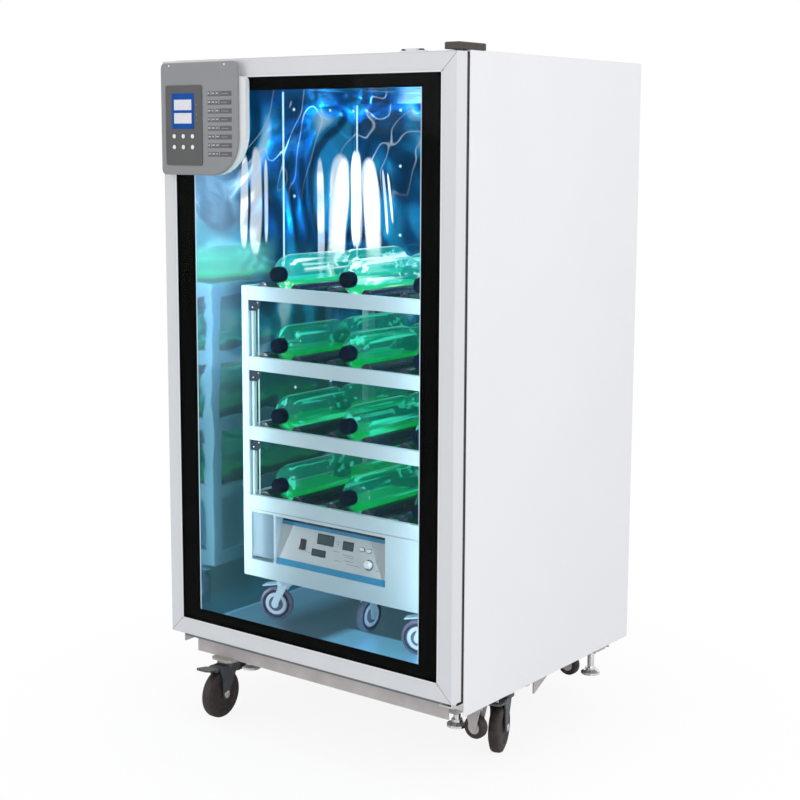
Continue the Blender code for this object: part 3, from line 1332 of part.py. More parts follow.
def fascia_controls(rack):
    """Tilted fascia plate with its rocker switch, two oval buttons and a speed knob."""
    plane = fascia_plane()
    bm = bmesh.new()
    add_block(bm, (TOUCH, TOUCH, TOUCH), (FASCIA_WIDTH - TOUCH, TOUCH + FASCIA_THICK, SLOPE - TOUCH),
              plane)
    fascia = shape(bm, "control_fascia", FASCIA_GREY, rack)
    holes = bmesh.new()
    swing = ROCKER_HEIGHT / 2 + RUNNING + ROCKER_PROUD * math.sin(ROCKER_SWING)
    wide = ROCKER_WIDTH / 2 + RUNNING
    x, z = ROCKER_AT
    through = CONTROL_DEPTH
    add_block(holes, (x - wide, -through, z - swing), (x + wide, through, z + swing), plane)
    for x, z in BUTTON_AT:
        half = BUTTON_WIDTH / 2 + RUNNING
        tall = BUTTON_HEIGHT / 2 + RUNNING
        add_block(holes, (x - half, -through, z - tall), (x + half, through, z + tall), plane)
    bore = polygon_bore(KNOB_STEM, RUNNING, SMALL)
    stem = plane @ at(KNOB_AT[0], 0, KNOB_AT[1], ALONG_Y)
    add_turned(holes, cylinder(bore, -through, through), SMALL, stem)
    cut(fascia, holes, "control_holes")
    bm = bmesh.new()
    half = ROCKER_HEIGHT / 2
    side = [(-ROCKER_PROUD, -half), (-ROCKER_PROUD / 3, 0), (-ROCKER_PROUD, half),
            (CONTROL_DEPTH, half / 2), (CONTROL_DEPTH, -half / 2)]
    add_prism(bm, side, "X", -ROCKER_WIDTH / 2, ROCKER_WIDTH / 2,
              Matrix.Rotation(-ROCKER_SWING / 2, 4, "X"))
    on_fascia("rocker_switch", ROCKER_AT, bm, SWITCH_BLACK, rack)
    for number, spot in enumerate(BUTTON_AT, 1):
        bm = bmesh.new()
        wide, tall = BUTTON_WIDTH / 2, BUTTON_HEIGHT / 2
        oval = arc(wide - tall, 0, tall, -90, 90, 5) + arc(tall - wide, 0, tall, 90, 270, 5)
        add_prism(bm, oval, "Y", -BUTTON_PROUD, CONTROL_DEPTH)
        on_fascia(f"speed_button_{number}", spot, bm, KEY_WHITE, rack)
    bm = bmesh.new()
    edge = KNOB_RADIUS / 5
    add_turned(bm, [(0, -KNOB_PROUD), (KNOB_RADIUS - edge, -KNOB_PROUD),
                    (KNOB_RADIUS, edge - KNOB_PROUD), (KNOB_RADIUS, -2 * TOUCH), (KNOB_STEM, -2 * TOUCH),
                    (KNOB_STEM, CONTROL_DEPTH), (0, CONTROL_DEPTH)], MEDIUM, ALONG_Y)
    on_fascia("speed_knob", KNOB_AT, bm, KEY_WHITE, rack)


def build():
    """Cabinet, running gear, door and rack."""
    outer_shell()
    insulation()
    inner_liner()
    chassis_frame()
    large_casters()
    levelling_feet()
    hinge_bracket()
    upper_hinge()
    door = pivot("door_hinge", (*HINGE, DOOR_BOTTOM))
    door_frame(door)
    door_glass(door)
    door_gasket(door)
    control_panel(door)
    air_duct()
    fan_rotor()
    rack = pivot("rack_roll", (0.0, RACK_FRONT, RACK_BOTTOM))
    rack_frame(rack)
    rack_casters(rack)
    bottle_lanes(rack)
    control_box(rack)
    fascia_controls(rack)


build()
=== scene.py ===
# %% [markdown]
# # Roll-in incubator
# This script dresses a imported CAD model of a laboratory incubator: a tall insulated cabinet on
# casters, a glass door with a control panel, and a wheeled rack of roller bottles inside. The CAD
# nodes stay where they are. Each step adds the looks that the solids can't carry: finishes, fine
# trim, printed faces, bottles with liquid, and rollers.
# Everything is in metres, +Z is up, the door faces -Y and +X is to the right as one faces the door.

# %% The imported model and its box
import math

import bmesh
import bpy
from mathutils import Matrix, Vector


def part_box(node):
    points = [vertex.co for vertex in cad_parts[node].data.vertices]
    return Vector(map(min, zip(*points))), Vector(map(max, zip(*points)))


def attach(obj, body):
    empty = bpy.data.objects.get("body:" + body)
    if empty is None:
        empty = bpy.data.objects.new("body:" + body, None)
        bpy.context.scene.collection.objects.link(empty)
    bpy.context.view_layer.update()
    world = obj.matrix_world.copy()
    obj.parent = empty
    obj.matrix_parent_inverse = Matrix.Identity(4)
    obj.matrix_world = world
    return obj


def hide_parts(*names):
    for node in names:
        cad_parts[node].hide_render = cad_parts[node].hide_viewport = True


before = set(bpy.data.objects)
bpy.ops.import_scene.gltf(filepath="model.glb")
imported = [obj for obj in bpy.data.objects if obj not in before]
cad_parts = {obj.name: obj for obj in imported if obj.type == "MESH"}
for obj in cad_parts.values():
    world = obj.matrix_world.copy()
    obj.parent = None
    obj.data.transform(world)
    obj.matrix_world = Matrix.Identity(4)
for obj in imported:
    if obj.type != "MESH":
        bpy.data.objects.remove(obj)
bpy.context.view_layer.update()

# %% [markdown]
# ## Sizes taken from the solids
# Trim has to sit exactly on what carries it, so every place is read from the node's own box. A
# measured copy of the numbers would drift as soon as the CAD changes.

# %% Places read from the nodes
door_lo, door_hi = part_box("door_frame")
cover_lo, cover_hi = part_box("panel_cover")
face_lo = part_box("panel_faceplate")[0]
rack_lo, rack_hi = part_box("rack_frame")
box_lo, box_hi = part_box("control_box")
fascia_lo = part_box("control_fascia")[0]
duct_lo, duct_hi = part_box("air_duct")
shell_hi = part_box("outer_shell")[1]
liner_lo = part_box("inner_liner")[0]
DOOR_Y = door_lo.y
FRAME_FACE = 0.042  # how wide the door's extrusions look from the front
CHAMBER_X = duct_hi.x
CHAMBER_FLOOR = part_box("rack_wheel_middle")[0].z
print("door", tuple(round(v, 4) for v in door_lo), tuple(round(v, 4) for v in door_hi))

# %% [markdown]
# ## The camera
# The photo was taken from the right front, a little above the middle of the door, with a short
# telephoto lens: the verticals draw together only slightly. A fit to the door's and the cabinet's
# edges gave the place and the turns used here.

# %% Camera at the photo's viewing angle
moved = Matrix.Translation
YAW, PITCH, ROLL = (math.radians(angle) for angle in (37.389, 8.308, 0.25))
FROM_CORNER = Vector((1.9485, -2.7418, 1.2622))  # lower right corner of the door
look = Vector((-math.sin(YAW) * math.cos(PITCH), math.cos(YAW) * math.cos(PITCH),
               -math.sin(PITCH)))
level = Vector((math.cos(YAW), math.sin(YAW), 0.0))
rise = level.cross(look)
right = math.cos(ROLL) * level + math.sin(ROLL) * rise
above = math.cos(ROLL) * rise - math.sin(ROLL) * level
camera_data = bpy.data.cameras.new("camera")
camera_data.sensor_width = 36.0
camera_data.lens = 70.07
camera_data.shift_x, camera_data.shift_y = -0.0019, -0.0412
camera = bpy.data.objects.new("camera", camera_data)
scene = bpy.context.scene
scene.collection.objects.link(camera)
place = Vector((shell_hi.x, DOOR_Y, door_lo.z)) + FROM_CORNER
turn = Matrix((right, above, -look)).transposed().to_4x4()
camera.matrix_world = moved(place) @ turn
scene.camera = camera
print("camera", tuple(round(v, 3) for v in place))

# %% [markdown]
# ## Helpers for finishes
# A real finish is never one flat colour: paint has orange peel, moulding has grain, metal has
# scratches. Each finish here is a Principled shader whose colour drifts a little with noise and
# whose surface has a small bump. The noise runs in object space, so it stays on the part.


# %% Materials, nodes and textures
def start_finish(name):
    """A fresh material with its Principled shader and its coordinates."""
    material = bpy.data.materials.new(name)
    material.use_nodes = True
    shader = material.node_tree.nodes["Principled BSDF"]
    return material, shader, beside(shader, "TexCoord")


def feed(slot, value):
    """Fill an input with a number or a colour, or link another node's output to it."""
    if isinstance(value, bpy.types.NodeSocket):
        slot.id_data.links.new(value, slot)
    else:
        slot.default_value = (*value, 1.0) if slot.type == "RGBA" else value


def put(node, **values):
    """Feed inputs of a node by name, with _ for each space."""
    for name, value in values.items():
        feed(node.inputs[name.replace("_", " ")], value)
    return node


def beside(other, kind, **values):
    """A new node in the tree of another node or socket, its inputs fed by name."""
    return put(other.id_data.nodes.new("ShaderNode" + kind), **values)


def noise(source, scale, detail=3.0, stretch=None):
    """A noise texture; stretch squeezes it along an axis."""
    where = source.outputs["Object"]
    if stretch:
        where = beside(source, "Mapping", Scale=stretch, Vector=where).outputs[0]
    return beside(source, "TexNoise", Scale=scale, Detail=detail, Vector=where)


def ramp(value, stops):
    """A colour ramp over (position, colour) stops."""
    node = beside(value, "ValToRGB", Fac=value)
    band = node.color_ramp
    while len(band.elements) < len(stops):
        band.elements.new(0.5)
    for element, (position, colour) in zip(band.elements, stops):
        element.position = position
        element.color = (*colour, 1.0)
    return node.outputs[0]

# %% [markdown]
# ## Sums and mixes in nodes
# Patterns are masks that are added, multiplied and mixed. Wiring each node by hand takes many
# lines, so these helpers make a node, feed its inputs and hand back its output.


# %% Helpers for sums, ranges and mixes
def calc(operation, *values):
    """One sum in nodes: the first value is another node's output, the next may be a number."""
    node = beside(values[0], "Math")
    node.operation = operation
    for slot, value in zip(node.inputs, values):
        feed(slot, value)
    return node.outputs[0]


def stretch_range(value, low, high, to_low=0.0, to_high=1.0):
    """A value rescaled from one range to another and clamped."""
    return beside(value, "MapRange", Value=value, From_Min=low, From_Max=high, To_Min=to_low,
                  To_Max=to_high).outputs[0]


def blended(factor, first, second):
    """Two colours mixed by a factor: each is a colour or the output of another node."""
    node = beside(factor, "Mix")
    node.data_type = "RGBA"
    return put(node, Factor=factor, A=first, B=second).outputs["Result"]


def either(factor, first, second):
    """Two shaders mixed by a factor."""
    node = beside(factor, "MixShader")
    for slot, value in zip(node.inputs, (factor, first.outputs[0], second.outputs[0])):
        feed(slot, value)
    return node.outputs[0]

# %% [markdown]
# ## A plain finish
# Most solids need no more than a colour that drifts, a roughness and a fine grain, so one helper
# makes them all. It can also give off a faint glow, which is painted light, and pass on any other
# input of the shader.


# %% Helpers for plain finishes
def bump(shader, value, strength, distance):
    """Bump from a value."""
    node = beside(shader, "Bump", Strength=strength, Distance=distance, Height=value)
    put(shader, Normal=node.outputs[0])


def finish(name, colour, roughness, metallic=0.0, drift=0.05, scale=14.0, grain=0.0,
           grain_scale=500.0, stretch=None, glow=None, **inputs):
    """A finish whose colour drifts with noise; glow, a colour and a strength, is painted light."""
    material, shader, source = start_finish(name)
    darker = tuple(c * (1.0 - drift) for c in colour)
    lighter = tuple(min(1.0, c * (1.0 + drift)) for c in colour)
    cloud = noise(source, scale, 4.0, stretch)
    tint = ramp(cloud.outputs["Fac"], [(0.3, darker), (0.7, lighter)])
    put(shader, Base_Color=tint, Roughness=roughness, Metallic=metallic, **inputs)
    if grain:
        fine = noise(source, grain_scale, 2.0, stretch)
        bump(shader, fine.outputs["Fac"], grain, 0.0005)
    if glow:
        put(shader, Emission_Color=glow[0], Emission_Strength=glow[1])
    return material


def dress(material, *starts):
    """Give a finish to the CAD nodes whose names start so."""
    for name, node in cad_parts.items():
        if name.startswith(starts):
            node.data.materials.clear()
            node.data.materials.append(material)
    return material

# %% [markdown]
# ## Helpers for pieces
# Trim is made in mesh code, so that every edge is where it is meant to be. The parts of a piece
# are made one by one and merged, and the piece is told which CAD body it rides.


# %% Piece helpers
def place_piece(name, bm, materials, body, smooth=True):
    """Turn a bmesh into a named piece that rides on a body."""
    mesh = bpy.data.meshes.new(name)
    bmesh.ops.recalc_face_normals(bm, faces=bm.faces)
    bm.to_mesh(mesh)
    bm.free()
    if smooth:
        mesh.shade_smooth()
        mesh.set_sharp_from_angle(angle=math.radians(35))
    piece = bpy.data.objects.new(name, mesh)
    scene.collection.objects.link(piece)
    for material in materials if isinstance(materials, (list, tuple)) else [materials]:
        mesh.materials.append(material)
    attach(piece, body)
    return piece


def merge(bm, part, matrix=None, index=0):
    """Put a part into a larger bmesh with a material index."""
    for face in part.faces:
        face.material_index = index
    mesh = bpy.data.meshes.new("part")
    part.to_mesh(mesh)
    part.free()
    if matrix is not None:
        mesh.transform(matrix)
    bm.from_mesh(mesh)
    bpy.data.meshes.remove(mesh)

# %% [markdown]
# ## Shapes for trim
# Five shapes are enough for the trim: a block with a small bevel, a part turned from a profile, a
# round rod, a small domed head, and a flat plate from an outline. All are closed.


# %% Helpers for shapes
def block(bm, low, high, edge=0.0, matrix=None, index=0):
    """A block between two corners, its edges bevelled."""
    part = bmesh.new()
    low, high = Vector(low), Vector(high)
    middle, size = (low + high) / 2, high - low
    bmesh.ops.create_cube(part, size=1.0)
    for vert in part.verts:
        vert.co = middle + Vector(a * b for a, b in zip(vert.co, size))
    if edge:
        bmesh.ops.bevel(part, geom=list(part.edges), offset=edge, segments=2, affect="EDGES")
    merge(bm, part, matrix, index)


def turned(bm, profile, steps, matrix=None, index=0):
    """A profile of (radius, height) points spun round Z."""
    part = bmesh.new()
    verts = [part.verts.new((radius, 0.0, height)) for radius, height in profile]
    edges = [part.edges.new(pair) for pair in zip(verts, verts[1:])]
    bmesh.ops.spin(part, geom=verts + edges, axis=(0, 0, 1), cent=(0, 0, 0), angle=2 * math.pi,
                   steps=steps)
    bmesh.ops.remove_doubles(part, verts=part.verts, dist=1e-6)
    merge(bm, part, matrix, index)


def aimed(place, toward):
    """A matrix that puts Z at a place and along a direction."""
    return moved(place) @ Vector(toward).to_track_quat("Z", "Y").to_matrix().to_4x4()


def tube(bm, start, end, radius, steps):
    """A round rod between two points."""
    line = Vector(end) - Vector(start)
    profile = [(0, 0), (radius, 0), (radius, line.length), (0, line.length)]
    turned(bm, profile, steps, aimed(start, line))


def disc(bm, place, radius, depth, toward=(0, -1, 0), steps=16, dome=0.0):
    """A small round head on a face, with an optional domed top."""
    profile = [(0, 0), (radius, 0), (radius, depth * 0.6), (radius * 0.85, depth),
               (radius * 0.45, depth + dome * 0.8), (0, depth + dome)]
    turned(bm, profile, steps, aimed(place, toward))


def plate(bm, outline, depth, matrix=None, hole=None):
    """A flat plate: an outline in X and Z with its depth along Y, and perhaps a hole."""
    part = bmesh.new()
    loops = [outline, hole] if hole else [outline]
    fronts = [[part.verts.new((x, 0.0, z)) for x, z in loop] for loop in loops]
    backs = [[part.verts.new((x, depth, z)) for x, z in loop] for loop in loops]
    count = len(outline)
    for i in range(count):
        j = (i + 1) % count
        for front, back in zip(fronts, backs):
            part.faces.new((front[i], front[j], back[j], back[i]))
        if hole:
            for outer, inner in (fronts, backs):
                part.faces.new((outer[i], outer[j], inner[j], inner[i]))
    if not hole:
        part.faces.new(fronts[0])
        part.faces.new(backs[0])
    merge(bm, part, matrix)


ALONG_Y = Matrix.Rotation(-math.pi / 2, 4, "X")
ALONG_X = Matrix.Rotation(math.pi / 2, 4, "Y")
SKIN = 0.0002  # trim stands this far off the face that carries it

# %% [markdown]
# ## Light and background
# The object was shot on white. The world is plain white to the camera and in reflections, and a
# little darker as a light source, so pale paint keeps its tone.

# %% White world
scene.view_settings.view_transform = "Standard"
world = bpy.data.worlds.new("studio")
scene.world = world
world.use_nodes = True
sky = world.node_tree
sky.nodes.clear()
path = sky.nodes.new("ShaderNodeLightPath").outputs
seen = calc("MAXIMUM", path["Is Camera Ray"], path["Is Glossy Ray"])
seen = calc("MAXIMUM", seen, path["Is Transmission Ray"])
dim = beside(seen, "Background", Color=(0.97, 0.98, 1.0), Strength=0.72)
white = beside(seen, "Background", Color=(1.0, 1.0, 1.0))
beside(seen, "OutputWorld", Surface=either(seen, dim, white))
print("world", world.name)

# %% [markdown]
# ## Lamps
# Two wide lamps stand in for soft boxes: the stronger one on the right makes the side the
# brightest face. The chamber has its own light, whose fittings the photo doesn't show. Two tubes
# behind the door's edges and a strip below the ceiling give its bright rims and cold tint.


# %% Lamps of the studio and of the chamber
def lamp(name, place, target, size, power, colour=(1.0, 1.0, 1.0)):
    """A soft rectangular lamp that shines from a place towards a target."""
    data = bpy.data.lights.new(name, "AREA")
    data.shape = "RECTANGLE"
    data.size, data.size_y = size
    data.energy = power
    data.color = colour
    holder = bpy.data.objects.new(name, data)
    scene.collection.objects.link(holder)
    holder.location = place
    aim = Vector(target) - Vector(place)
    holder.rotation_mode = "QUATERNION"
    holder.rotation_quaternion = aim.to_track_quat("-Z", "Y")
    holder.visible_camera = False
    return holder


TUBE_GAP = 0.025  # from the chamber's wall and its front edge to a tube
TUBE_Z = 0.9  # height of a tube's middle
lamp("soft_box_right", (3.6, -0.9, 2.2), (0.3, 0.0, 0.8), (2.2, 2.2), 37.0)
lamp("soft_box_front", (-1.2, -3.4, 2.4), (0.0, -0.3, 0.9), (2.0, 2.0), 17.0)
for name, side, power in (("chamber_tube_left", -1, 1.6), ("chamber_tube_right", 1, 3.6)):
    lamp(name, (side * (CHAMBER_X - TUBE_GAP), liner_lo.y + TUBE_GAP, TUBE_Z),
         (0.0, duct_lo.y, TUBE_Z), (0.014, 1.25), power, (0.74, 0.92, 1.0))
lamp("chamber_glow", (0.0, liner_lo.y + 0.10, 1.585), (0.0, 0.16, 1.0), (0.6, 0.05), 2.6,
     (0.45, 0.82, 1.0))

# %% [markdown]
# ## Painted steel, mouldings and rubber
# The cabinet and the door frame are white powder coat and off-white extrusion. Both are nearly
# flat in the photo, so only a faint orange peel is given. Plated parts are metallic with a fine
# scratch; mouldings are matte; tyres are a brown black that reads warm beside the grey forks.

# %% Finishes of cabinet, door and chassis
dress(finish("cabinet_paint", (0.84, 0.84, 0.86), 0.34, drift=0.012, scale=3.0, grain=0.05,
             grain_scale=700.0), "outer_shell")
dress(finish("frame_extrusion", (0.73, 0.74, 0.76), 0.32, drift=0.02, scale=5.0, grain=0.04,
             grain_scale=420.0, stretch=(1.0, 1.0, 0.05)), "door_frame")
dress(finish("chassis_enamel", (0.52, 0.485, 0.465), 0.45, drift=0.10, scale=20.0, grain=0.1),
      "chassis_frame")
dress(finish("wall_foam", (0.80, 0.74, 0.55), 0.95, drift=0.08, scale=90.0, grain=0.5),
      "insulation")
dress(finish("zinc_plate", (0.66, 0.66, 0.65), 0.30, 1.0, drift=0.12, scale=60.0, grain=0.06),
      "hinge_bracket")
chrome = dress(finish("bright_plate", (0.78, 0.79, 0.81), 0.14, 1.0, drift=0.06, scale=40.0),
               "levelling_foot")
rubber = dress(finish("seal_rubber", (0.075, 0.075, 0.080), 0.7, drift=0.15, scale=60.0,
                      grain=0.2), "door_gasket")
tyre = dress(finish("tyre_rubber", (0.028, 0.020, 0.019), 0.55, drift=0.2, scale=70.0,
                    grain=0.25), "caster_wheel")
dress(finish("fork_enamel", (0.085, 0.095, 0.105), 0.38, 0.35, drift=0.15, scale=45.0,
             grain=0.08), "caster_fork", "brake_pedal")
dress(finish("brown_moulding", (0.040, 0.024, 0.022), 0.36, drift=0.12, grain=0.15),
      "upper_hinge")
print("finishes so far", len(bpy.data.materials))

# %% [markdown]
# ## Panel, rack and fan
# The panel is moulded plastic in two greys with pale keys. The rack is pale powder coat with a
# faint glow in the chamber's cold tint, which is painted light. Its forks are bright plate whose
# blue tint and stronger glow are a painted reflection of that light, and its tyres a violet grey.
# Rocker and fan are black mouldings.

# %% Finishes of panel, rack and fan
dress(finish("grey_tyre", (0.20, 0.20, 0.29), 0.40, drift=0.15, scale=60.0, grain=0.1),
      "rack_wheel")
# bright plate; its blue tint and glow are a painted reflection of the chamber's cold light
bright_fork_painted_glow = dress(finish("bright_fork_painted_glow", (0.74, 0.88, 1.0), 0.16, 0.15, drift=0.08, scale=50.0,
                           glow=((0.45, 0.75, 1.0), 0.22)), "rack_fork")
panel_white = dress(finish("white_moulding", (0.83, 0.84, 0.84), 0.28, drift=0.02, grain=0.04),
                    "panel_base")
panel_grey = dress(finish("grey_moulding", (0.275, 0.282, 0.292), 0.42, 0.15, drift=0.03,
                          scale=9.0, grain=0.18, grain_scale=900.0), "panel_cover")
dress(finish("dark_face", (0.092, 0.092, 0.093), 0.34, drift=0.05, scale=12.0, grain=0.08),
      "panel_faceplate")
dress(finish("key_cap", (0.86, 0.90, 0.93), 0.25, drift=0.03), "speed_", "key_")
# a faint painted glow of the chamber's cold light on rack and box
dress(finish("rack_powder_coat", (0.57, 0.72, 0.78), 0.42, drift=0.05, scale=7.0, grain=0.08,
             glow=((0.30, 0.70, 0.80), 0.05)), "rack_frame", "control_box")
switch_black = dress(finish("switch_black", (0.030, 0.018, 0.022), 0.30, drift=0.1),
                     "rocker_switch")
dress(finish("fan_moulding", (0.03, 0.03, 0.035), 0.5, drift=0.1), "fan_rotor")
print("finishes so far", len(bpy.data.materials))

# %% [markdown]
# ## Polished chamber
# The chamber is thin mirror-polished steel. Such sheet is never quite flat, so what it mirrors
# runs in slow waves and bright curls. True reflections would need the whole studio modelled, so
# the material draws them: blue fields from a distorted noise, curls from a narrow band of a
# second one, and tall white columns where lamps are mirrored. They don't move with the viewer.


# %% Waves, curls and mirrored lamps
# tones of the painted reflections; THREAD gives the painted glints of the curls
DEEP = (0.0, 0.075, 0.185)
NIGHT = (0.0, 0.032, 0.080)
SKY = (0.008, 0.260, 0.500)
PALE = (0.50, 0.85, 1.0)
BLACK, WHITE = (0.0, 0.0, 0.0), (1.0, 1.0, 1.0)
FIELD = [(0.36, SKY), (0.43, DEEP), (0.52, NIGHT), (0.58, DEEP), (0.64, SKY), (0.72, PALE)]
THREAD = [(0.494, BLACK), (0.498, WHITE), (0.502, WHITE), (0.506, BLACK)]


def bright_column(along, rise, sway, middle, half, low, high, lean=0.0):
    """A mask for the painted reflection of a lamp in wavy sheet: tall and rounded, with soft edges.
    """
    up = calc("SUBTRACT", rise, (low + high) / 2)
    shifted = calc("ADD", along, calc("MULTIPLY", sway, half * 1.6))
    if lean:
        shifted = calc("SUBTRACT", shifted, calc("MULTIPLY", up, lean))
    across = calc("DIVIDE", calc("SUBTRACT", shifted, middle + half * 0.8), half)
    upward = calc("DIVIDE", up, (high - low) / 2)
    reach = calc("ADD", calc("POWER", calc("ABSOLUTE", across), 2.0),
                 calc("POWER", calc("ABSOLUTE", upward), 5.0))
    return stretch_range(reach, 1.15, 0.70)


def mirrored(source, place, axis, columns):
    """The wave that bends the sheet, its painted blue reflection fields, and a mask of painted
    curls and columns.
    """
    wave = put(noise(source, 3.6, 1.5, (1.0, 1.0, 0.8)), Distortion=1.6)
    curl = put(noise(source, 2.6, 0.8, (1.0, 1.0, 0.8)), Distortion=2.6)
    thread = ramp(curl.outputs["Fac"], THREAD)
    thread = calc("MULTIPLY", thread, stretch_range(place["Z"], 1.30, 1.42))
    lit = calc("MULTIPLY", thread, 0.6)
    sway = noise(source, 5.0, 1.0, (1.0, 1.0, 0.9)).outputs["Fac"]
    for column in columns:
        lit = calc("MAXIMUM", lit, bright_column(place[axis], place["Z"], sway, *column))
    return wave.outputs["Fac"], ramp(wave.outputs["Fac"], FIELD), lit

# %% [markdown]
# ## Regions of the chamber's sheet
# Near the door the left wall gets a painted reflection of pale haze, and lower down one of the
# green of the top bottles. Below the top tier it turns grey, the floor has two pale patches of
# painted light, and the flange round the opening is plain steel. Each region is a mask over the
# place on the sheet.


# %% Masks of the regions
def both(first, second):
    """Where two (value, from, to) ranges overlap."""
    return calc("MULTIPLY", stretch_range(*first), stretch_range(*second))


def painted_reflections_near_door(place, field):
    """Painted reflections beside the door: pale haze, and below it a green band of the top bottles.
    """
    haze_reflection = both((place["Y"], -0.13, -0.23), (place["Z"], 1.50, 1.40))
    field = blended(calc("MULTIPLY", haze_reflection, 0.8), field, (0.34, 0.60, 0.82))
    band = both((place["Z"], 1.09, 1.13), (place["Z"], 1.22, 1.18))
    band = calc("MULTIPLY", band, stretch_range(place["Y"], -0.02, -0.12))
    return blended(calc("MULTIPLY", band, 0.8), field, (0.30, 0.78, 0.70))


def painted_floor_light(place):
    """Painted pools of light on the floor: one at the front right, a weaker one along the left."""
    floor_light = both((place["X"], -0.07, -0.03), (place["Y"], -0.120, -0.130))
    return calc("MAXIMUM", floor_light, stretch_range(place["X"], -0.20, -0.30, 0.0, 0.45))

# %% [markdown]
# ## Steel of walls, floor and back
# The same painted fields feed the metal's colour and a weak painted glow, because lamps alone
# leave dark blue metal too dim. The two materials differ only in the axis along which their
# painted lamp reflections stand: from door to back on the liner, across on the duct.


# %% Polished steel of the chamber
def chamber_steel(name, axis, columns):
    """Wavy polished sheet: painted reflections of blue fields, fine bright curls and tall white
    columns, with a painted glow.
    """
    material, shader, source = start_finish(name)
    place = beside(source, "SeparateXYZ", Vector=source.outputs["Object"]).outputs
    wave, field, lit = mirrored(source, place, axis, columns)
    field = painted_reflections_near_door(place, field)
    high_up = stretch_range(place["Z"], 0.75, 1.20)
    on_floor = stretch_range(place["Z"], CHAMBER_FLOOR + 0.004, CHAMBER_FLOOR + 0.001)
    on_rim = stretch_range(place["Y"], liner_lo.y + 0.008, liner_lo.y + 0.004)
    floor_light = painted_floor_light(place)
    # painted colour: reflections and a grey tint on the walls, pools of light on the floor; plain
    # rim
    wall = blended(high_up, (0.17, 0.29, 0.35), blended(lit, field, (0.95, 0.99, 1.0)))
    floor_colour = blended(floor_light, (0.26, 0.36, 0.43), (0.34, 0.72, 0.95))
    wall = blended(on_rim, blended(on_floor, wall, floor_colour), (0.20, 0.20, 0.21))
    # painted glow from the same masks
    shine = blended(high_up, (0.010, 0.060, 0.062), blended(lit, field, WHITE))
    floor_shine = blended(floor_light, (0.045, 0.085, 0.120), (0.17, 0.48, 0.72))
    shine = blended(on_rim, blended(on_floor, shine, floor_shine), BLACK)
    rough = stretch_range(on_floor, 0.0, 1.0, 0.10, 0.30)
    put(shader, Base_Color=wall, Metallic=0.9, Roughness=rough, Emission_Color=shine,
        Emission_Strength=0.55)
    bump(shader, wave, 0.45, 0.02)
    return material


# each column, a painted reflection of a lamp: its middle, half its width, its low and high end,
# and perhaps how it leans
SIDE_COLUMNS = [(-0.142, 0.014, 1.19, 1.43), (-0.099, 0.020, 1.17, 1.45),
                (-0.062, 0.007, 1.20, 1.42), (0.158, 0.015, 1.10, 1.42),
                (0.234, 0.044, 1.08, 1.43, 0.13), (0.310, 0.017, 1.17, 1.44)]
BACK_COLUMNS = [(-0.386, 0.017, 1.17, 1.44), (-0.334, 0.030, 1.08, 1.42, -0.07),
                (-0.287, 0.005, 1.21, 1.39, -0.10), (-0.269, 0.004, 1.24, 1.38, -0.14),
                (0.05, 0.03, 1.06, 1.42), (0.15, 0.012, 1.20, 1.40), (0.31, 0.03, 1.06, 1.42)]
dress(chamber_steel("side_steel", "Y", SIDE_COLUMNS), "inner_liner")
dress(chamber_steel("back_steel", "X", BACK_COLUMNS), "air_duct")
print("columns", len(SIDE_COLUMNS), len(BACK_COLUMNS))

# %% [markdown]
# ## Glass unit
# The door is a sealed double pane. Real glass costs long renders for little here, so the panes
# are nearly clear with a mirror-like surface and let light straight through. The edge of the unit
# hides behind a broad black border, which is printed on the glass.

# %% Glass and its border
glass, shader, source = start_finish("clear_glass")
put(shader, Base_Color=(0.004, 0.014, 0.018), Roughness=0.02, Alpha=0.05)
dress(glass, "outer_pane", "inner_pane")
dress(finish("border_black", (0.0022, 0.0017, 0.0012), 0.20, drift=0.35, scale=5.0,
             Specular_IOR_Level=0.0), "glass_border")
print("glass", glass.name)

# %% [markdown]
# ## Mitre lines of the door
# The frame is four extrusions cut at 45 degrees, so a hairline shows at each corner. It could be
# a groove in the solid, but a flat dark sliver on the face reads the same and is simpler.

# %% Mitre lines
line_dark = finish("joint_line", (0.30, 0.30, 0.32), 0.6, drift=0.1)
LINE_HALF = 0.0004
OUTER_GAP = 0.07  # share of the joint that stays free beside the rounded corner
bm = bmesh.new()
for sx in (-1, 1):
    for z_edge, sz in ((door_hi.z, -1), (door_lo.z, 1)):
        outer = Vector((sx * door_hi.x, z_edge))
        inner = outer + Vector((-sx * FRAME_FACE, sz * FRAME_FACE))
        step = Vector((sx * LINE_HALF, sz * LINE_HALF))
        start = outer + (inner - outer) * OUTER_GAP
        plate(bm, [start + step, inner + step, inner - step, start - step], SKIN,
              moved((0.0, DOOR_Y - SKIN, 0.0)))
place_piece("frame_mitre_lines", bm, line_dark, "door", smooth=False)
print("mitre lines", 4)

# %% [markdown]
# ## Glazing bead and top clip
# A bright bead holds the glass in the frame. It is four bars round the door, made by a helper
# that the seal's core uses again. The clip on the door's top is white with two dark studs.


# %% Bead and clip
def frame_bars(bm, inset, width, front, back, edge=0.0):
    """Four bars round the door, inset from its outline: bottom, top, left and right."""
    x, low_z, high_z = door_hi.x - inset, door_lo.z + inset, door_hi.z - inset
    for low, high in (((-x, low_z), (x, low_z + width)), ((-x, high_z - width), (x, high_z)),
                      ((-x, low_z), (-x + width, high_z)), ((x - width, low_z), (x, high_z))):
        block(bm, (low[0], front, low[1]), (high[0], back, high[1]), edge)


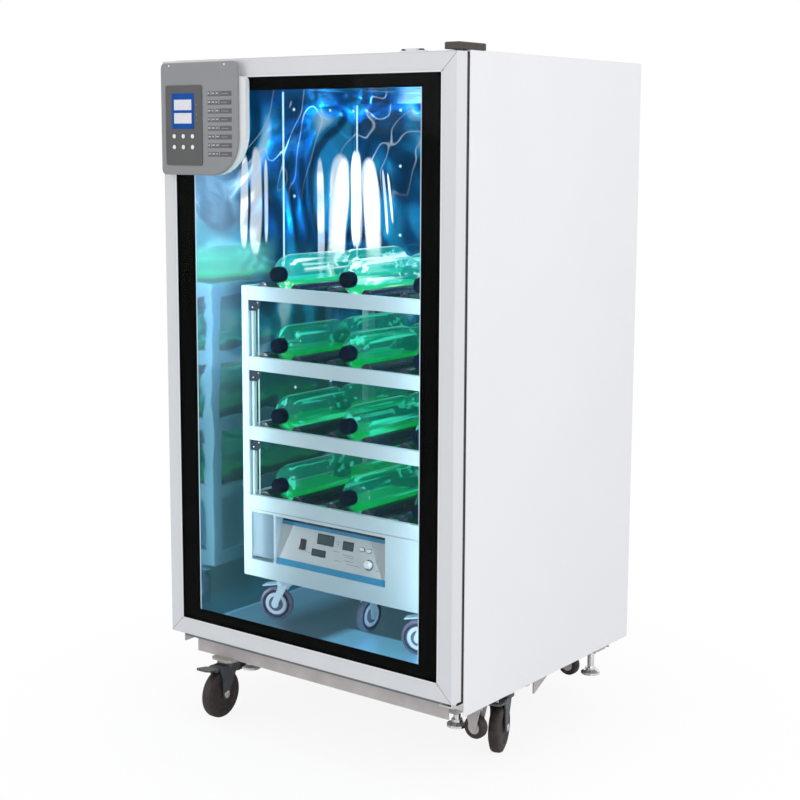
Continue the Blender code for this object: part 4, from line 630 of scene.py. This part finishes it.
bead_white = finish("bead_white", (0.90, 0.91, 0.92), 0.25, drift=0.02)
bm = bmesh.new()
frame_bars(bm, FRAME_FACE - 0.0012, 0.0025, DOOR_Y - 0.0004, DOOR_Y + 0.0015, 0.0003)
place_piece("glazing_bead", bm, bead_white, "door")
bm = bmesh.new()
for left, wide, front, deep, low, high, edge, index in (
        (0.285, 0.068, 0.006, 0.018, 0.0, 0.004, 0.0008, 0),
        (0.300, 0.030, 0.008, 0.014, 0.004, 0.009, 0.001, 0),
        (0.288, 0.008, 0.009, 0.012, 0.004, 0.008, 0.001, 1),
        (0.336, 0.008, 0.009, 0.012, 0.004, 0.008, 0.001, 1)):
    block(bm, (left, DOOR_Y + front, door_hi.z + low),
          (left + wide, DOOR_Y + front + deep, door_hi.z + high), edge, index=index)
place_piece("door_top_clip", bm, [panel_white, switch_black], "door")
print("bead and clip at", round(DOOR_Y, 4))

# %% [markdown]
# ## Painted highlight at the border's edge, and the seal's core
# Where the black border ends, the glass catches the chamber's light as a fine pale line, painted
# here as a glowing strip. It is a strip in the plane of the border's sheet, as farther back it
# would hide behind the spacer. The seal's solid is a thin bellows, so a dark core fills it and
# keeps the light in.

# %% Pale line and seal core
# a glowing strip: painted highlight where the border ends
edge_highlight = finish("pane_edge_painted_highlight", (0.70, 0.84, 0.92), 0.3, drift=0.06, glow=((0.5, 0.8, 1.0), 0.25))
border_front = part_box("glass_border")[0].y
BORDER_SIDE, BORDER_END = 0.058, 0.032
clear_x = door_hi.x - FRAME_FACE - BORDER_SIDE
clear_low = door_lo.z + FRAME_FACE + BORDER_END
clear_high = door_hi.z - FRAME_FACE - BORDER_END
bm = bmesh.new()
for side in (-1, 1):
    across = sorted((side * clear_x, side * (clear_x - 0.0018)))
    block(bm, (across[0], border_front + 0.0001, clear_low),
          (across[1], border_front + 0.0011, clear_high))
place_piece("pane_edge_painted_highlight_line", bm, edge_highlight, "door", smooth=False)
bm = bmesh.new()
frame_bars(bm, 0.006, 0.008, DOOR_Y + 0.0352, DOOR_Y + 0.0458)
place_piece("seal_core", bm, rubber, "door", smooth=False)
print("clear opening", round(clear_x, 4), round(clear_low, 4), round(clear_high, 4))

# %% [markdown]
# ## Display of the control panel
# The panel is a moulded cover with a dark membrane face: a blue display with two pale windows
# and three pin-point lamps. A picture would carry words, so each field is a thin raised plate.

# %% Display, windows and lamps
lcd_blue = finish("display_blue", (0.0, 0.080, 0.40), 0.30, drift=0.12, scale=30.0,
                  Specular_IOR_Level=0.15)
lcd_pale = finish("display_window", (0.80, 0.80, 0.84), 0.30, drift=0.04, scale=60.0)
plate_dark = finish("plate_dark", (0.11, 0.112, 0.117), 0.45, drift=0.12, scale=160.0)
plate_pale = finish("plate_print", (0.50, 0.51, 0.52), 0.45, drift=0.10, scale=240.0)
FOIL = 0.0004  # thickness of the display's plates
face_y = face_lo.y - SKIN
cover_y = cover_lo.y - SKIN
bm = bmesh.new()
block(bm, (-0.388, face_y - FOIL, 1.495), (-0.313, face_y, 1.580), 0.0001)
place_piece("display_frame", bm, lcd_blue, "door", smooth=False)
bm = bmesh.new()
for low, high in ((1.540, 1.565), (1.508, 1.533)):
    block(bm, (-0.3800, face_y - 2 * FOIL, low), (-0.3210, face_y - FOIL, high), 0.0001)
place_piece("display_windows", bm, lcd_pale, "door", smooth=False)
bm = bmesh.new()
for z in (1.552, 1.529, 1.516):
    disc(bm, (-0.305, face_y, z), 0.0011, 0.0003, steps=10)
place_piece("display_lamps", bm, plate_pale, "door")
print("display face at", round(face_y, 4))

# %% [markdown]
# ## Printed plates, screws and key rings
# Beside the display stands a column of eight printed plates. The print carries no words, only
# generic bars. Two screws hold the cover at its top, and a dark ring frames each key, turned from
# a flat profile so that its edge is crisp.

# %% Plates of the cover
TOP_PLATE, PLATE_STEP, PLATE_HALF = 1.578, 0.0204, 0.0058
PRINT = 0.0002  # thickness of a layer of print
FINE = 0.00005  # bevel of the finest print
bm = bmesh.new()
for row in range(8):
    z = TOP_PLATE - PLATE_STEP * row
    block(bm, (-0.229, cover_y - PRINT, z - PLATE_HALF), (-0.190, cover_y, z + PLATE_HALF), 0.0001)
    block(bm, (-0.269, cover_y - PRINT, z - PLATE_HALF), (-0.2295, cover_y, z - 0.0036), 0.0001)
    for dash in range(3):
        wide = 0.011 if (row + dash) % 3 else 0.008
        x = -0.268 + 0.013 * dash
        block(bm, (x, cover_y - PRINT, z - 0.0030), (x + wide, cover_y, z + 0.0052), 0.0001)
        block(bm, (x + 0.0012, cover_y - 2 * PRINT, z - 0.0010),
              (x + wide - 0.002, cover_y - PRINT, z + 0.0026), FINE, index=1)
    block(bm, (-0.224, cover_y - 2 * PRINT, z - 0.0012),
          (-0.200 - 0.004 * (row % 2), cover_y - PRINT, z + 0.0008), FINE, index=2)
place_piece("printed_plates", bm, [plate_dark, plate_pale, panel_grey], "door", smooth=False)
bm = bmesh.new()
for x in (-0.398, -0.213):
    disc(bm, (x, cover_y, cover_hi.z - 0.0075), 0.0026, 0.0006, steps=14, dome=0.0004)
place_piece("panel_screws", bm, chrome, "door")
bm = bmesh.new()
ring = [(0.0064, 0), (0.0076, 0), (0.0076, 0.0004), (0.0064, 0.0004), (0.0064, 0)]
for row in (1, 2):
    for column in (1, 2, 3):
        low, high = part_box(f"key_{row}_{column}")
        middle = (low + high) / 2
        spot = moved((middle.x, face_y, middle.z))
        turned(bm, ring, 20, spot @ ALONG_Y.inverted())
place_piece("key_rings", bm, plate_dark, "door")
print("cover face at", round(cover_y, 4))

# %% [markdown]
# ## Chamber fittings
# Seams of the polished sheet are covered by narrow bright strips, and the sheet is held by small
# domed screws. They catch the light as dots and lines, which is most of what the eye reads as
# depth in the photo.

# %% Seam strips and screws
# this finish glows: painted glints on seam strips, chamber screws, bracket screws and guide rods
strip = finish("seam_strip_painted_glint", (0.80, 0.93, 1.0), 0.25, 0.3, glow=((0.62, 0.90, 1.0), 0.45))
back_y = duct_lo.y - SKIN
seam_y = DOOR_Y + 0.38
wall_x = CHAMBER_X - 0.0005
SEAM_LOW = 1.10
SCREW, HEAD = 0.0042, 0.0012  # radius of a screw's head, and its height and dome
bm = bmesh.new()
for side in (-1, 1):
    across = sorted((side * (CHAMBER_X - 0.0015), side * (CHAMBER_X - 0.0075)))
    block(bm, (across[0], back_y - 0.0015, SEAM_LOW), (across[1], back_y, duct_hi.z - 0.004),
          0.0004)
block(bm, (-wall_x, seam_y, SEAM_LOW), (-CHAMBER_X + 0.002, seam_y + 0.006, 1.595), 0.0004)
place_piece("seam_strips", bm, strip, "cabinet")
bm = bmesh.new()
for x in (-0.36, -0.24, -0.12, 0.0, 0.12, 0.24, 0.36):
    for z in (duct_hi.z - 0.018, duct_hi.z - 0.170, duct_hi.z - 0.360, duct_lo.z + 0.3,
              duct_lo.z + 0.02):
        if abs(x) > 0.09 or z > 1.5 or z < 1.2:
            disc(bm, (x + 0.006, back_y, z), SCREW, HEAD, dome=HEAD)
for y in (0.05, 0.20, 0.30):
    for z in (1.55, 1.32, 1.08, 0.80, 0.45):
        for side in (-1, 1):
            disc(bm, (side * wall_x, y, z), SCREW, HEAD, toward=(-side, 0, 0), dome=HEAD)
place_piece("chamber_screws", bm, strip, "cabinet")
print("strips and screws from", round(back_y, 4))

# %% [markdown]
# ## Rollers
# Each lane lies on a pair of steel rollers sleeved in smooth dark rubber. The solids carry the
# rollers as plain ten-sided bars, so a round sleeve with softened ends goes over each one. Its
# height follows from the bottle: both circles touch at their rims.

# %% Sleeves over the rollers
navy = finish("roller_sleeve", (0.012, 0.022, 0.045), 0.22, drift=0.3, scale=30.0,
              Coat_Weight=0.3)
lanes = {name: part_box(name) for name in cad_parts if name.startswith("bottle_lane")}
SPREAD = 0.055  # from a lane's middle to each of its rollers
SLEEVE = 0.0191  # radius of a sleeve
REACH = 0.049 + 0.019 + 0.0003  # radius of a lane and of a roller, and the gap between them
roller_front = rack_lo.y + 0.0195
length = rack_hi.y - 0.0195 - roller_front
drop = math.sqrt(REACH ** 2 - SPREAD ** 2)
profile = [(0.0052, 0), (SLEEVE - 0.002, 0), (SLEEVE, 0.002), (SLEEVE, length - 0.002),
           (SLEEVE - 0.002, length), (0.0052, length), (0.0052, 0)]
bm = bmesh.new()
for low, high in lanes.values():
    centre = (low + high) / 2
    for side in (-SPREAD, SPREAD):
        spot = moved((centre.x + side, roller_front, centre.z - drop))
        turned(bm, profile, 20, spot @ ALONG_Y)
place_piece("roller_sleeves", bm, navy, "rack")
print("lanes", len(lanes), "sleeve length", round(length, 4))

# %% [markdown]
# ## Brackets and rods of the rack
# Dark brackets with a cut corner bolt the rails to the left stile, and a bright pair of rods
# stands behind them between the tiers. The brackets are plates from an outline, since a folded
# sheet of this size shows only its face.

# %% Brackets, their screws and the rods
bracket_blue = finish("bracket_enamel", (0.006, 0.016, 0.034), 0.4, drift=0.15, scale=30.0,
                      Specular_IOR_Level=0.15)
RAIL_DROP, RAIL_HEIGHT = 0.0325, 0.035  # from the bottles' axis to the rail, and its height
rails = sorted({round((low.z + high.z) / 2 - RAIL_DROP, 4) for low, high in lanes.values()})
stile_in = rack_lo.x + 0.022
bracket_y = rack_lo.y + 0.004
rod_y = rack_lo.y + 0.022
outline = [(0.001, 0), (0.040, 0), (0.040, -0.010), (0.026, -0.028), (0.001, -0.028)]
bm = bmesh.new()
screws = bmesh.new()
for top in rails[1:]:
    rail_low = top - RAIL_HEIGHT
    plate(bm, outline, 0.002, moved((stile_in, bracket_y, rail_low - 0.0002)))
    for x, down, radius in ((0.012, 0.019, 0.0019), (0.030, 0.006, 0.0016)):
        disc(screws, (stile_in + x, bracket_y, rail_low - down), radius, 0.001, dome=0.0008)
place_piece("rail_brackets", bm, bracket_blue, "rack", smooth=False)
place_piece("bracket_screws", screws, strip, "rack")
bm = bmesh.new()
for low, high in zip(rails, rails[1:]):
    for x in (stile_in + 0.0036, stile_in + 0.0155):
        tube(bm, (x, rod_y, low + 0.0005), (x, rod_y, high - RAIL_HEIGHT - 0.0005), 0.0020, 12)
place_piece("guide_rods", bm, strip, "rack")
print("tiers", rails)

# %% [markdown]
# ## Clear plastic and medium
# Roller bottles are blown clear plastic, about a third full of green medium. True refraction
# would take many samples behind the door's glass. A thin tinted skin does with few: nearly clear
# from the front, milky at its edges with a painted highlight, with pale painted highlight streaks
# along it, and a faint painted glow. The top row gets lit, paler copies of the finishes: painted
# light.


# %% Finishes of the bottles
def clear_skin(name, colour, streak_highlight, rim, high_alpha, glow):
    """A see-through skin with lengthwise painted highlight streaks, paler and denser at its rim,
    the pale rim a painted highlight; its glow is painted light.
    """
    material, shader, source = start_finish(name)
    facing = beside(source, "LayerWeight", Blend=0.30)
    drawn = noise(source, 46.0, 2.0, (1.0, 0.05, 1.0)).outputs["Fac"]
    lines = stretch_range(drawn, 0.55, 0.63)
    edge = stretch_range(facing.outputs["Facing"], 0.62, 0.88)
    tint = blended(edge, blended(lines, colour, streak_highlight), rim)
    dense = calc("MAXIMUM", calc("MULTIPLY", lines, 0.55), edge)
    alpha = stretch_range(dense, 0.0, 1.0, 0.34, high_alpha)
    put(shader, Base_Color=tint, Emission_Color=tint, Alpha=alpha, Roughness=0.05,
        Emission_Strength=glow)
    return material


# the skin's glow is painted light; lit_skin is a lit, paler copy for the top row, painted light
skin = clear_skin("bottle_skin", (0.0, 0.26, 0.17), (0.05, 0.85, 0.60), (0.25, 1.0, 0.85), 0.92,
                  0.55)
lit_skin = clear_skin("lit_bottle_skin", (0.01, 0.42, 0.36), (0.80, 1.0, 0.96), (0.90, 1.0, 1.0),
                      0.96, 0.80)
# the medium's glow is painted light; the lit copies for the top row are painted light too
medium = finish("green_medium", (0.0, 0.68, 0.060), 0.15, drift=0.25, scale=16.0,
                glow=((0.0, 0.62, 0.055), 0.50))
lit_medium = finish("lit_green_medium", (0.03, 0.92, 0.24), 0.15, drift=0.25, scale=16.0,
                    glow=((0.03, 0.90, 0.22), 0.45))
# darker than the medium: painted shade on its flat surface
surface = finish("medium_surface", (0.0, 0.45, 0.085), 0.08, drift=0.2, scale=18.0,
                 glow=((0.0, 0.42, 0.07), 0.45))
lit_surface = finish("lit_medium_surface", (0.03, 0.75, 0.42), 0.08, drift=0.2, scale=18.0,
                     glow=((0.03, 0.72, 0.40), 0.55))
cap = finish("cap_navy", (0.002, 0.009, 0.026), 0.24, drift=0.2, scale=40.0,
             Specular_IOR_Level=0.04)
print("finishes so far", len(bpy.data.materials))

# %% [markdown]
# ## Shape of a bottle
# The body is turned from a profile: neck, round shoulder, straight wall and a hollow foot. The
# cap's ribs don't turn out of a profile, so its rings are set point by point. The medium is a
# solid cut off flat at its surface, which gets a darker copy of the medium's finish: painted shade.


# %% Body, cap and medium of one bottle
BOTTLE = 0.0487  # radius
LENGTH = 0.250
CAP_LENGTH = 0.028
NECK = 0.0170
RIBS = 48
LEVEL = -0.27 * BOTTLE  # height of the medium's surface from the bottle's axis
CHORD = 14  # sides of the medium's cross-section below its surface


def loft(part, rings, closed):
    """Faces between one row of points and the next, and over both ends."""
    part.faces.new(rings[0])
    part.faces.new(rings[-1])
    for a, b in zip(rings, rings[1:]):
        for i in range(len(a) if closed else len(a) - 1):
            j = (i + 1) % len(a)
            part.faces.new((a[i], a[j], b[j], b[i]))


def body_profile():
    """(radius, height) points from the neck to the foot."""
    points = [(0, CAP_LENGTH - 0.004), (0.0165, CAP_LENGTH - 0.004), (NECK, CAP_LENGTH + 0.002)]
    for i in range(7):
        a = math.radians(15 + 75 * i / 6)
        points.append((NECK + (BOTTLE - NECK) * math.sin(a),
                       CAP_LENGTH + 0.004 + 0.034 * (1 - math.cos(a))))
    return points + [(BOTTLE, LENGTH - 0.012), (BOTTLE - 0.0015, LENGTH - 0.005),
                     (BOTTLE - 0.006, LENGTH - 0.0015), (BOTTLE - 0.014, LENGTH - 0.0008),
                     (BOTTLE - 0.018, LENGTH - 0.006), (0, LENGTH - 0.008)]


def ribbed_cap():
    """A cap with fine ribs, rounded at its end."""
    ribs = []
    for i in range(RIBS):
        angle, radius = 2 * math.pi * i / RIBS, 0.0199 if i % 2 else 0.0191
        ribs.append((radius * math.cos(angle), radius * math.sin(angle)))
    part = bmesh.new()
    rings = []
    for height, scale in ((0.0, 0.86), (0.002, 0.97), (0.004, 1.0), (CAP_LENGTH - 0.001, 1.0)):
        rings.append([part.verts.new((u * scale, v * scale, height + 0.0004)) for u, v in ribs])
    loft(part, rings, True)
    return part


def medium_and_surface():
    """The medium up to its level, open on top, and the flat surface that closes it."""
    inside = BOTTLE - 0.0012
    fill, top = bmesh.new(), bmesh.new()
    sections = []
    for along, share in ((CAP_LENGTH + 0.012, 0.62), (CAP_LENGTH + 0.020, 0.82),
                         (CAP_LENGTH + 0.036, 1.0), (LENGTH - 0.012, 1.0)):
        r = inside * share
        half = math.acos(min(1.0, max(-1.0, -LEVEL / r)))
        angles = [-math.pi / 2 - half + 2 * half * i / CHORD for i in range(CHORD + 1)]
        sections.append([fill.verts.new((r * math.cos(a), -r * math.sin(a), along))
                         for a in angles])
    loft(fill, sections, False)
    left, right = [[top.verts.new(ring[i].co) for ring in sections] for i in (CHORD, 0)]
    for i in range(len(sections) - 1):
        top.faces.new((left[i], left[i + 1], right[i + 1], right[i]))
    return fill, top

# %% [markdown]
# ## Bottles of every lane
# Bottles lie in pairs, cap to the door. The CAD has one plain body for each lane, and skin and
# caps stand in for it. The medium keeps level while a bottle turns, so it rides with the rack.

# %% Bottles of every lane
for name, (low, high) in lanes.items():
    centre = (low + high) / 2
    shells, liquid = bmesh.new(), bmesh.new()
    for row in range(2):
        turn = moved((centre.x, low.y + row * LENGTH, centre.z)) @ ALONG_Y
        turned(shells, body_profile(), 32, turn, 0)
        merge(shells, ribbed_cap(), turn, 1)
        for index, part in enumerate(medium_and_surface()):
            merge(liquid, part, turn, index)
    tier, lane = name.split("_")[2:]
    on_top = tier == "4"
    piece = place_piece(f"roller_bottles_{tier}_{lane}", shells,
                        [lit_skin if on_top else skin, cap], f"bottles_{tier}_{lane}")
    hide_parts(name)
    bmesh.ops.remove_doubles(liquid, verts=liquid.verts, dist=1e-6)
    fills = [lit_medium, lit_surface] if on_top else [medium, surface]
    place_piece(f"medium_{tier}_{lane}", liquid, fills, "rack")
print("bottles", 2 * len(lanes))

# %% [markdown]
# ## Fascia of the rack's drive box
# The fascia is a printed plate that leans back, with a dark to blue band on top and a blue band
# below. All print lies in the plate's own plane, so one matrix carries the lean and a field is
# given by its left, low, right and high edge.


# %% Fascia bands
dress(finish("fascia_plate", (0.58, 0.65, 0.67), 0.32, drift=0.04, scale=12.0, grain=0.05),
      "control_fascia")
band_blue = finish("band_blue", (0.025, 0.29, 0.52), 0.30, drift=0.08, scale=20.0)
band_dark = finish("band_dark", (0.010, 0.030, 0.050), 0.25, drift=0.2, scale=20.0)
BACK, UP, WIDTH = 0.028, 0.118, 0.358  # how far the plate leans back and up, and its width
RIM = 0.0003  # the solid stands this far inside its recess
slope = math.hypot(BACK, UP)
plane = (moved((fascia_lo.x - RIM, box_lo.y + 0.001, fascia_lo.z - RIM))
         @ Matrix.Rotation(-math.atan2(BACK, UP), 4, "X"))


def on_plate(bm, left, low, right, high, proud=0.0004, index=0, edge=0.0001):
    """A thin printed field on the leaning plate; y 0 is its front."""
    block(bm, (left, RIM - proud, low), (right, RIM - SKIN / 4, high), edge, plane, index)


bm = bmesh.new()
on_plate(bm, 0.002, 0.001, WIDTH - 0.002, 0.0175)
on_plate(bm, 0.002, slope - 0.0165, WIDTH - 0.002, slope - 0.0075)
on_plate(bm, 0.002, slope - 0.0075, WIDTH - 0.002, slope - 0.0008, index=1)
place_piece("fascia_bands", bm, [band_blue, band_dark], "rack", smooth=False)
print("fascia", WIDTH, round(slope, 4))

# %% [markdown]
# ## Displays, print and rings of the fascia
# Each display is a dark frame with a green-grey field that stands a little prouder. Short bars
# take the place of words. Flat rings frame the two oval buttons and the knob.

# %% Displays, bars and rings
display_green = finish("display_green", (0.030, 0.085, 0.085), 0.20, drift=0.15, scale=60.0)
print_grey = finish("print_grey", (0.20, 0.25, 0.27), 0.4, drift=0.15, scale=200.0)
knob_ring = finish("knob_ring", (0.12, 0.16, 0.18), 0.35, drift=0.1)
DISPLAYS = ((0.152, 0.085, 0.054, 0.027), (0.226, 0.081, 0.035, 0.022),
            (0.135, 0.049, 0.046, 0.018))
BARS = ((0.103, 0.046, 0.012), (0.193, 0.086, 0.012), (0.193, 0.080, 0.009),
        (0.190, 0.062, 0.020), (0.230, 0.058, 0.034), (0.235, 0.053, 0.028),
        (0.200, 0.040, 0.018), (0.250, 0.036, 0.040), (0.236, 0.044, 0.030),
        (0.322, 0.060, 0.006), (0.322, 0.054, 0.004), (0.326, 0.036, 0.010))
FRAME = 0.003  # width of a display's dark frame
bm = bmesh.new()
for cx, cz, w, h in DISPLAYS:
    on_plate(bm, cx - w / 2, cz - h / 2, cx + w / 2, cz + h / 2, 0.0008, 0)
    on_plate(bm, cx - w / 2 + FRAME, cz - h / 2 + FRAME, cx + w / 2 - FRAME, cz + h / 2 - FRAME,
             0.0010, 1)
for cx, cz, w in BARS:
    on_plate(bm, cx - w / 2, cz - 0.0007, cx + w / 2, cz + 0.0007, 0.0003, 2, 0.0)
place_piece("fascia_print", bm, [band_dark, display_green, print_grey], "rack", smooth=False)
bm = bmesh.new()
turns = [2 * math.pi * i / 24 for i in range(24)]
for x, z in ((0.271, 0.080), (0.293, 0.079)):
    outer = [(x + 0.0092 * math.cos(a), z + 0.0062 * math.sin(a)) for a in turns]
    inner = [(x + 0.0078 * math.cos(a), z + 0.0047 * math.sin(a)) for a in turns]
    plate(bm, outer, 0.0005, plane @ moved((0.0, -0.0006, 0.0)), inner)
ring = [(0.0108, 0.0), (0.0136, 0.0), (0.0136, 0.0006), (0.0108, 0.0006), (0.0108, 0.0)]
turned(bm, ring, 28, plane @ moved((0.299, 0.0, 0.046)) @ ALONG_Y.inverted())
place_piece("control_rings", bm, knob_ring, "rack")
print("displays", len(DISPLAYS), "bars", len(BARS))

# %% [markdown]
# ## Pocket of the drive box
# Left of the fascia the box has an open pocket behind a dim clear window, with a grey connector
# at its foot. The window is a thin plate, half see-through with a faint glow, so the pocket looks
# lit without a lamp of its own.

# %% Pocket window, connector and box seam
window = finish("pocket_window", (0.26, 0.40, 0.50), 0.25, drift=0.08, scale=10.0, Alpha=0.62,
                glow=((0.26, 0.42, 0.54), 0.12))
connector_grey = finish("connector_grey", (0.10, 0.13, 0.16), 0.4, drift=0.15)
pocket_x = rack_lo.x + 0.028
pocket_z = rack_hi.z - 0.7145  # the pocket's floor below the top of the rack
SEAM_X = 0.3155
bm = bmesh.new()
block(bm, (pocket_x + 0.0008, box_lo.y + 0.0010, pocket_z + 0.0008),
      (pocket_x + 0.0752, box_lo.y + 0.0022, pocket_z + 0.1272), 0.0003)
place_piece("pocket_window", bm, window, "rack")
bm = bmesh.new()
block(bm, (pocket_x + 0.022, box_lo.y + 0.030, pocket_z + 0.0005),
      (pocket_x + 0.050, box_lo.y + 0.052, pocket_z + 0.034), 0.002)
block(bm, (pocket_x + 0.028, box_lo.y + 0.034, pocket_z + 0.034),
      (pocket_x + 0.044, box_lo.y + 0.048, pocket_z + 0.040), 0.001)
place_piece("pocket_connector", bm, connector_grey, "rack")
bm = bmesh.new()
block(bm, (-SEAM_X, box_lo.y - 0.0003, box_hi.z - 0.0016),
      (SEAM_X, box_lo.y + 0.0004, box_hi.z - 0.0004))
place_piece("box_seam", bm, line_dark, "rack", smooth=False)
print("pocket", round(pocket_x, 4), round(pocket_z, 4))

# %% [markdown]
# ## Tyres of the casters
# The solids carry plain wheels. The big casters get a tyre with a round tread and stepped cheeks,
# and the front ones an axle nut on each side, which rides the fork and so doesn't spin. The four
# small transport casters are one solid with the chassis and get dark tyres.

# %% Tyres and axle nuts
SMALL_AXLE = 0.1503 - 0.086 + 0.028  # height of the small casters' axles
HEADINGS = {"front_left": 4.4, "front_right": 19.8, "rear_left": 0.0, "rear_right": 0.0}
rows = [sum(v.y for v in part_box(f"levelling_foot_{row}_left")) / 2 for row in ("front", "rear")]
small = bmesh.new()
profile = [(0.0160, -0.0113), (0.0262, -0.0113), (0.0285, -0.0070), (0.0289, 0.0),
           (0.0285, 0.0070), (0.0262, 0.0113), (0.0160, 0.0113), (0.0160, -0.0113)]
for y, aside in zip(rows, (0.390, 0.330)):
    for x in (-aside, aside):
        turned(small, profile, 26, moved((x, y, SMALL_AXLE)) @ ALONG_Y)
place_piece("transport_tyres", small, tyre, "cabinet")
half = [(0.0165, 0.0110), (0.0200, 0.0122), (0.0400, 0.0120), (0.0440, 0.0150), (0.0500, 0.0152),
        (0.0560, 0.0128), (0.0603, 0.0112), (0.0622, 0.0070), (0.0625, 0.0)]
tread = half + [(r, -h) for r, h in reversed(half[:-1])] + half[:1]
nut = [(0.0, 0.0202), (0.0098, 0.0202), (0.0098, 0.0225), (0.0062, 0.0244), (0.0, 0.0244)]
for corner, heading in HEADINGS.items():
    low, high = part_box("caster_wheel_" + corner)
    turn = (moved((low + high) / 2)
            @ Matrix.Rotation(math.radians(heading), 4, "Z") @ ALONG_X)
    bm = bmesh.new()
    turned(bm, tread, 48, turn)
    place_piece("tyre_" + corner, bm, tyre, "wheel_" + corner)
    if corner.startswith("front"):
        bm = bmesh.new()
        for side in (0, 1):
            turned(bm, nut, 20, turn @ Matrix.Rotation(side * math.pi, 4, "X"))
        place_piece("axle_nuts_" + corner, bm, chrome, "fork_" + corner)
print("tyres", 4 + len(HEADINGS))

# %% [markdown]
# ## Rims and levers of the rack's casters
# The rack's wheels have a pale rim with a faint painted glow and a dark ring round it, and the two
# swivelling forks carry a flat bright lever with the forks' painted glow. Rims are turned rings on
# both cheeks, sized by the wheel's own radius.

# %% Rims of the rack's wheels and levers of its forks
# pale rim with a faint glow: painted light of the chamber
pale_rim_painted_glow = finish("pale_rim_painted_glow", (0.66, 0.80, 0.92), 0.25, drift=0.06,
                   glow=((0.5, 0.75, 1.0), 0.15))
rim_dark = finish("rim_dark", (0.05, 0.05, 0.09), 0.4, drift=0.15)
RACK_HEADING = Matrix.Rotation(math.radians(-70), 4, "Z")
RIMS = (((0.42, 0.0090), (0.46, 0.0104), (0.62, 0.0104), (0.66, 0.0074)),
        ((0.70, 0.0070), (0.72, 0.0112), (0.80, 0.0112), (0.84, 0.0086)))
for corner in ("left", "right", "middle", "rear_left", "rear_right"):
    low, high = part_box("rack_wheel_" + corner)
    radius = (high.z - low.z) / 2
    heading = RACK_HEADING if corner in ("left", "right") else Matrix()
    turn = moved((low + high) / 2) @ heading @ ALONG_X
    bm = bmesh.new()
    for side in (-1, 1):
        for index, rim in enumerate(RIMS):
            ring = [(radius * share, side * height) for share, height in rim]
            turned(bm, ring + ring[:1], 36, turn, index)
    place_piece("rack_rims_" + corner, bm, [pale_rim_painted_glow, rim_dark], "rack_wheel_" + corner + "_body")
for corner, x in (("left", -0.232), ("right", 0.232)):
    swivel = Vector((x, rack_lo.y + 0.040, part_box("rack_fork_" + corner)[1].z))
    tilt = moved((0, -0.018, -0.0065)) @ Matrix.Rotation(math.radians(9), 4, "X")
    bm = bmesh.new()
    block(bm, (-0.015, -0.040, -0.0015), (0.015, 0.0, 0.0015), 0.0012,
          moved(swivel) @ RACK_HEADING @ tilt)
    place_piece("rack_lever_" + corner, bm, bright_fork_painted_glow, "rack_fork_" + corner + "_body")
print("rack heading", round(math.degrees(RACK_HEADING.to_euler().z)))

# %% [markdown]
# ## Floor
# A plain pale floor takes only the soft shadow of the object. To the camera it fades to the white
# of the world with distance, so no horizon shows.

# %% Floor that fades to white
bm = bmesh.new()
bmesh.ops.create_grid(bm, x_segments=1, y_segments=1, size=14.0)
mesh = bpy.data.meshes.new("floor")
bm.to_mesh(mesh)
bm.free()
floor = bpy.data.objects.new("floor", mesh)
scene.collection.objects.link(floor)
floor.location.z = -0.0005
pale, shader, source = start_finish("floor_white")
put(shader, Base_Color=(0.93, 0.93, 0.93), Roughness=0.7)
away = beside(shader, "VectorMath")
away.operation = "LENGTH"
feed(away.inputs[0], source.outputs["Object"])
fade = stretch_range(away.outputs["Value"], 0.45, 1.15, 0.89, 1.0)
camera_ray = beside(shader, "LightPath").outputs["Is Camera Ray"]
mix = either(calc("MULTIPLY", camera_ray, fade), shader, beside(shader, "Emission"))
put(pale.node_tree.nodes["Material Output"], Surface=mix)
mesh.materials.append(pale)
print("floor", floor.name)
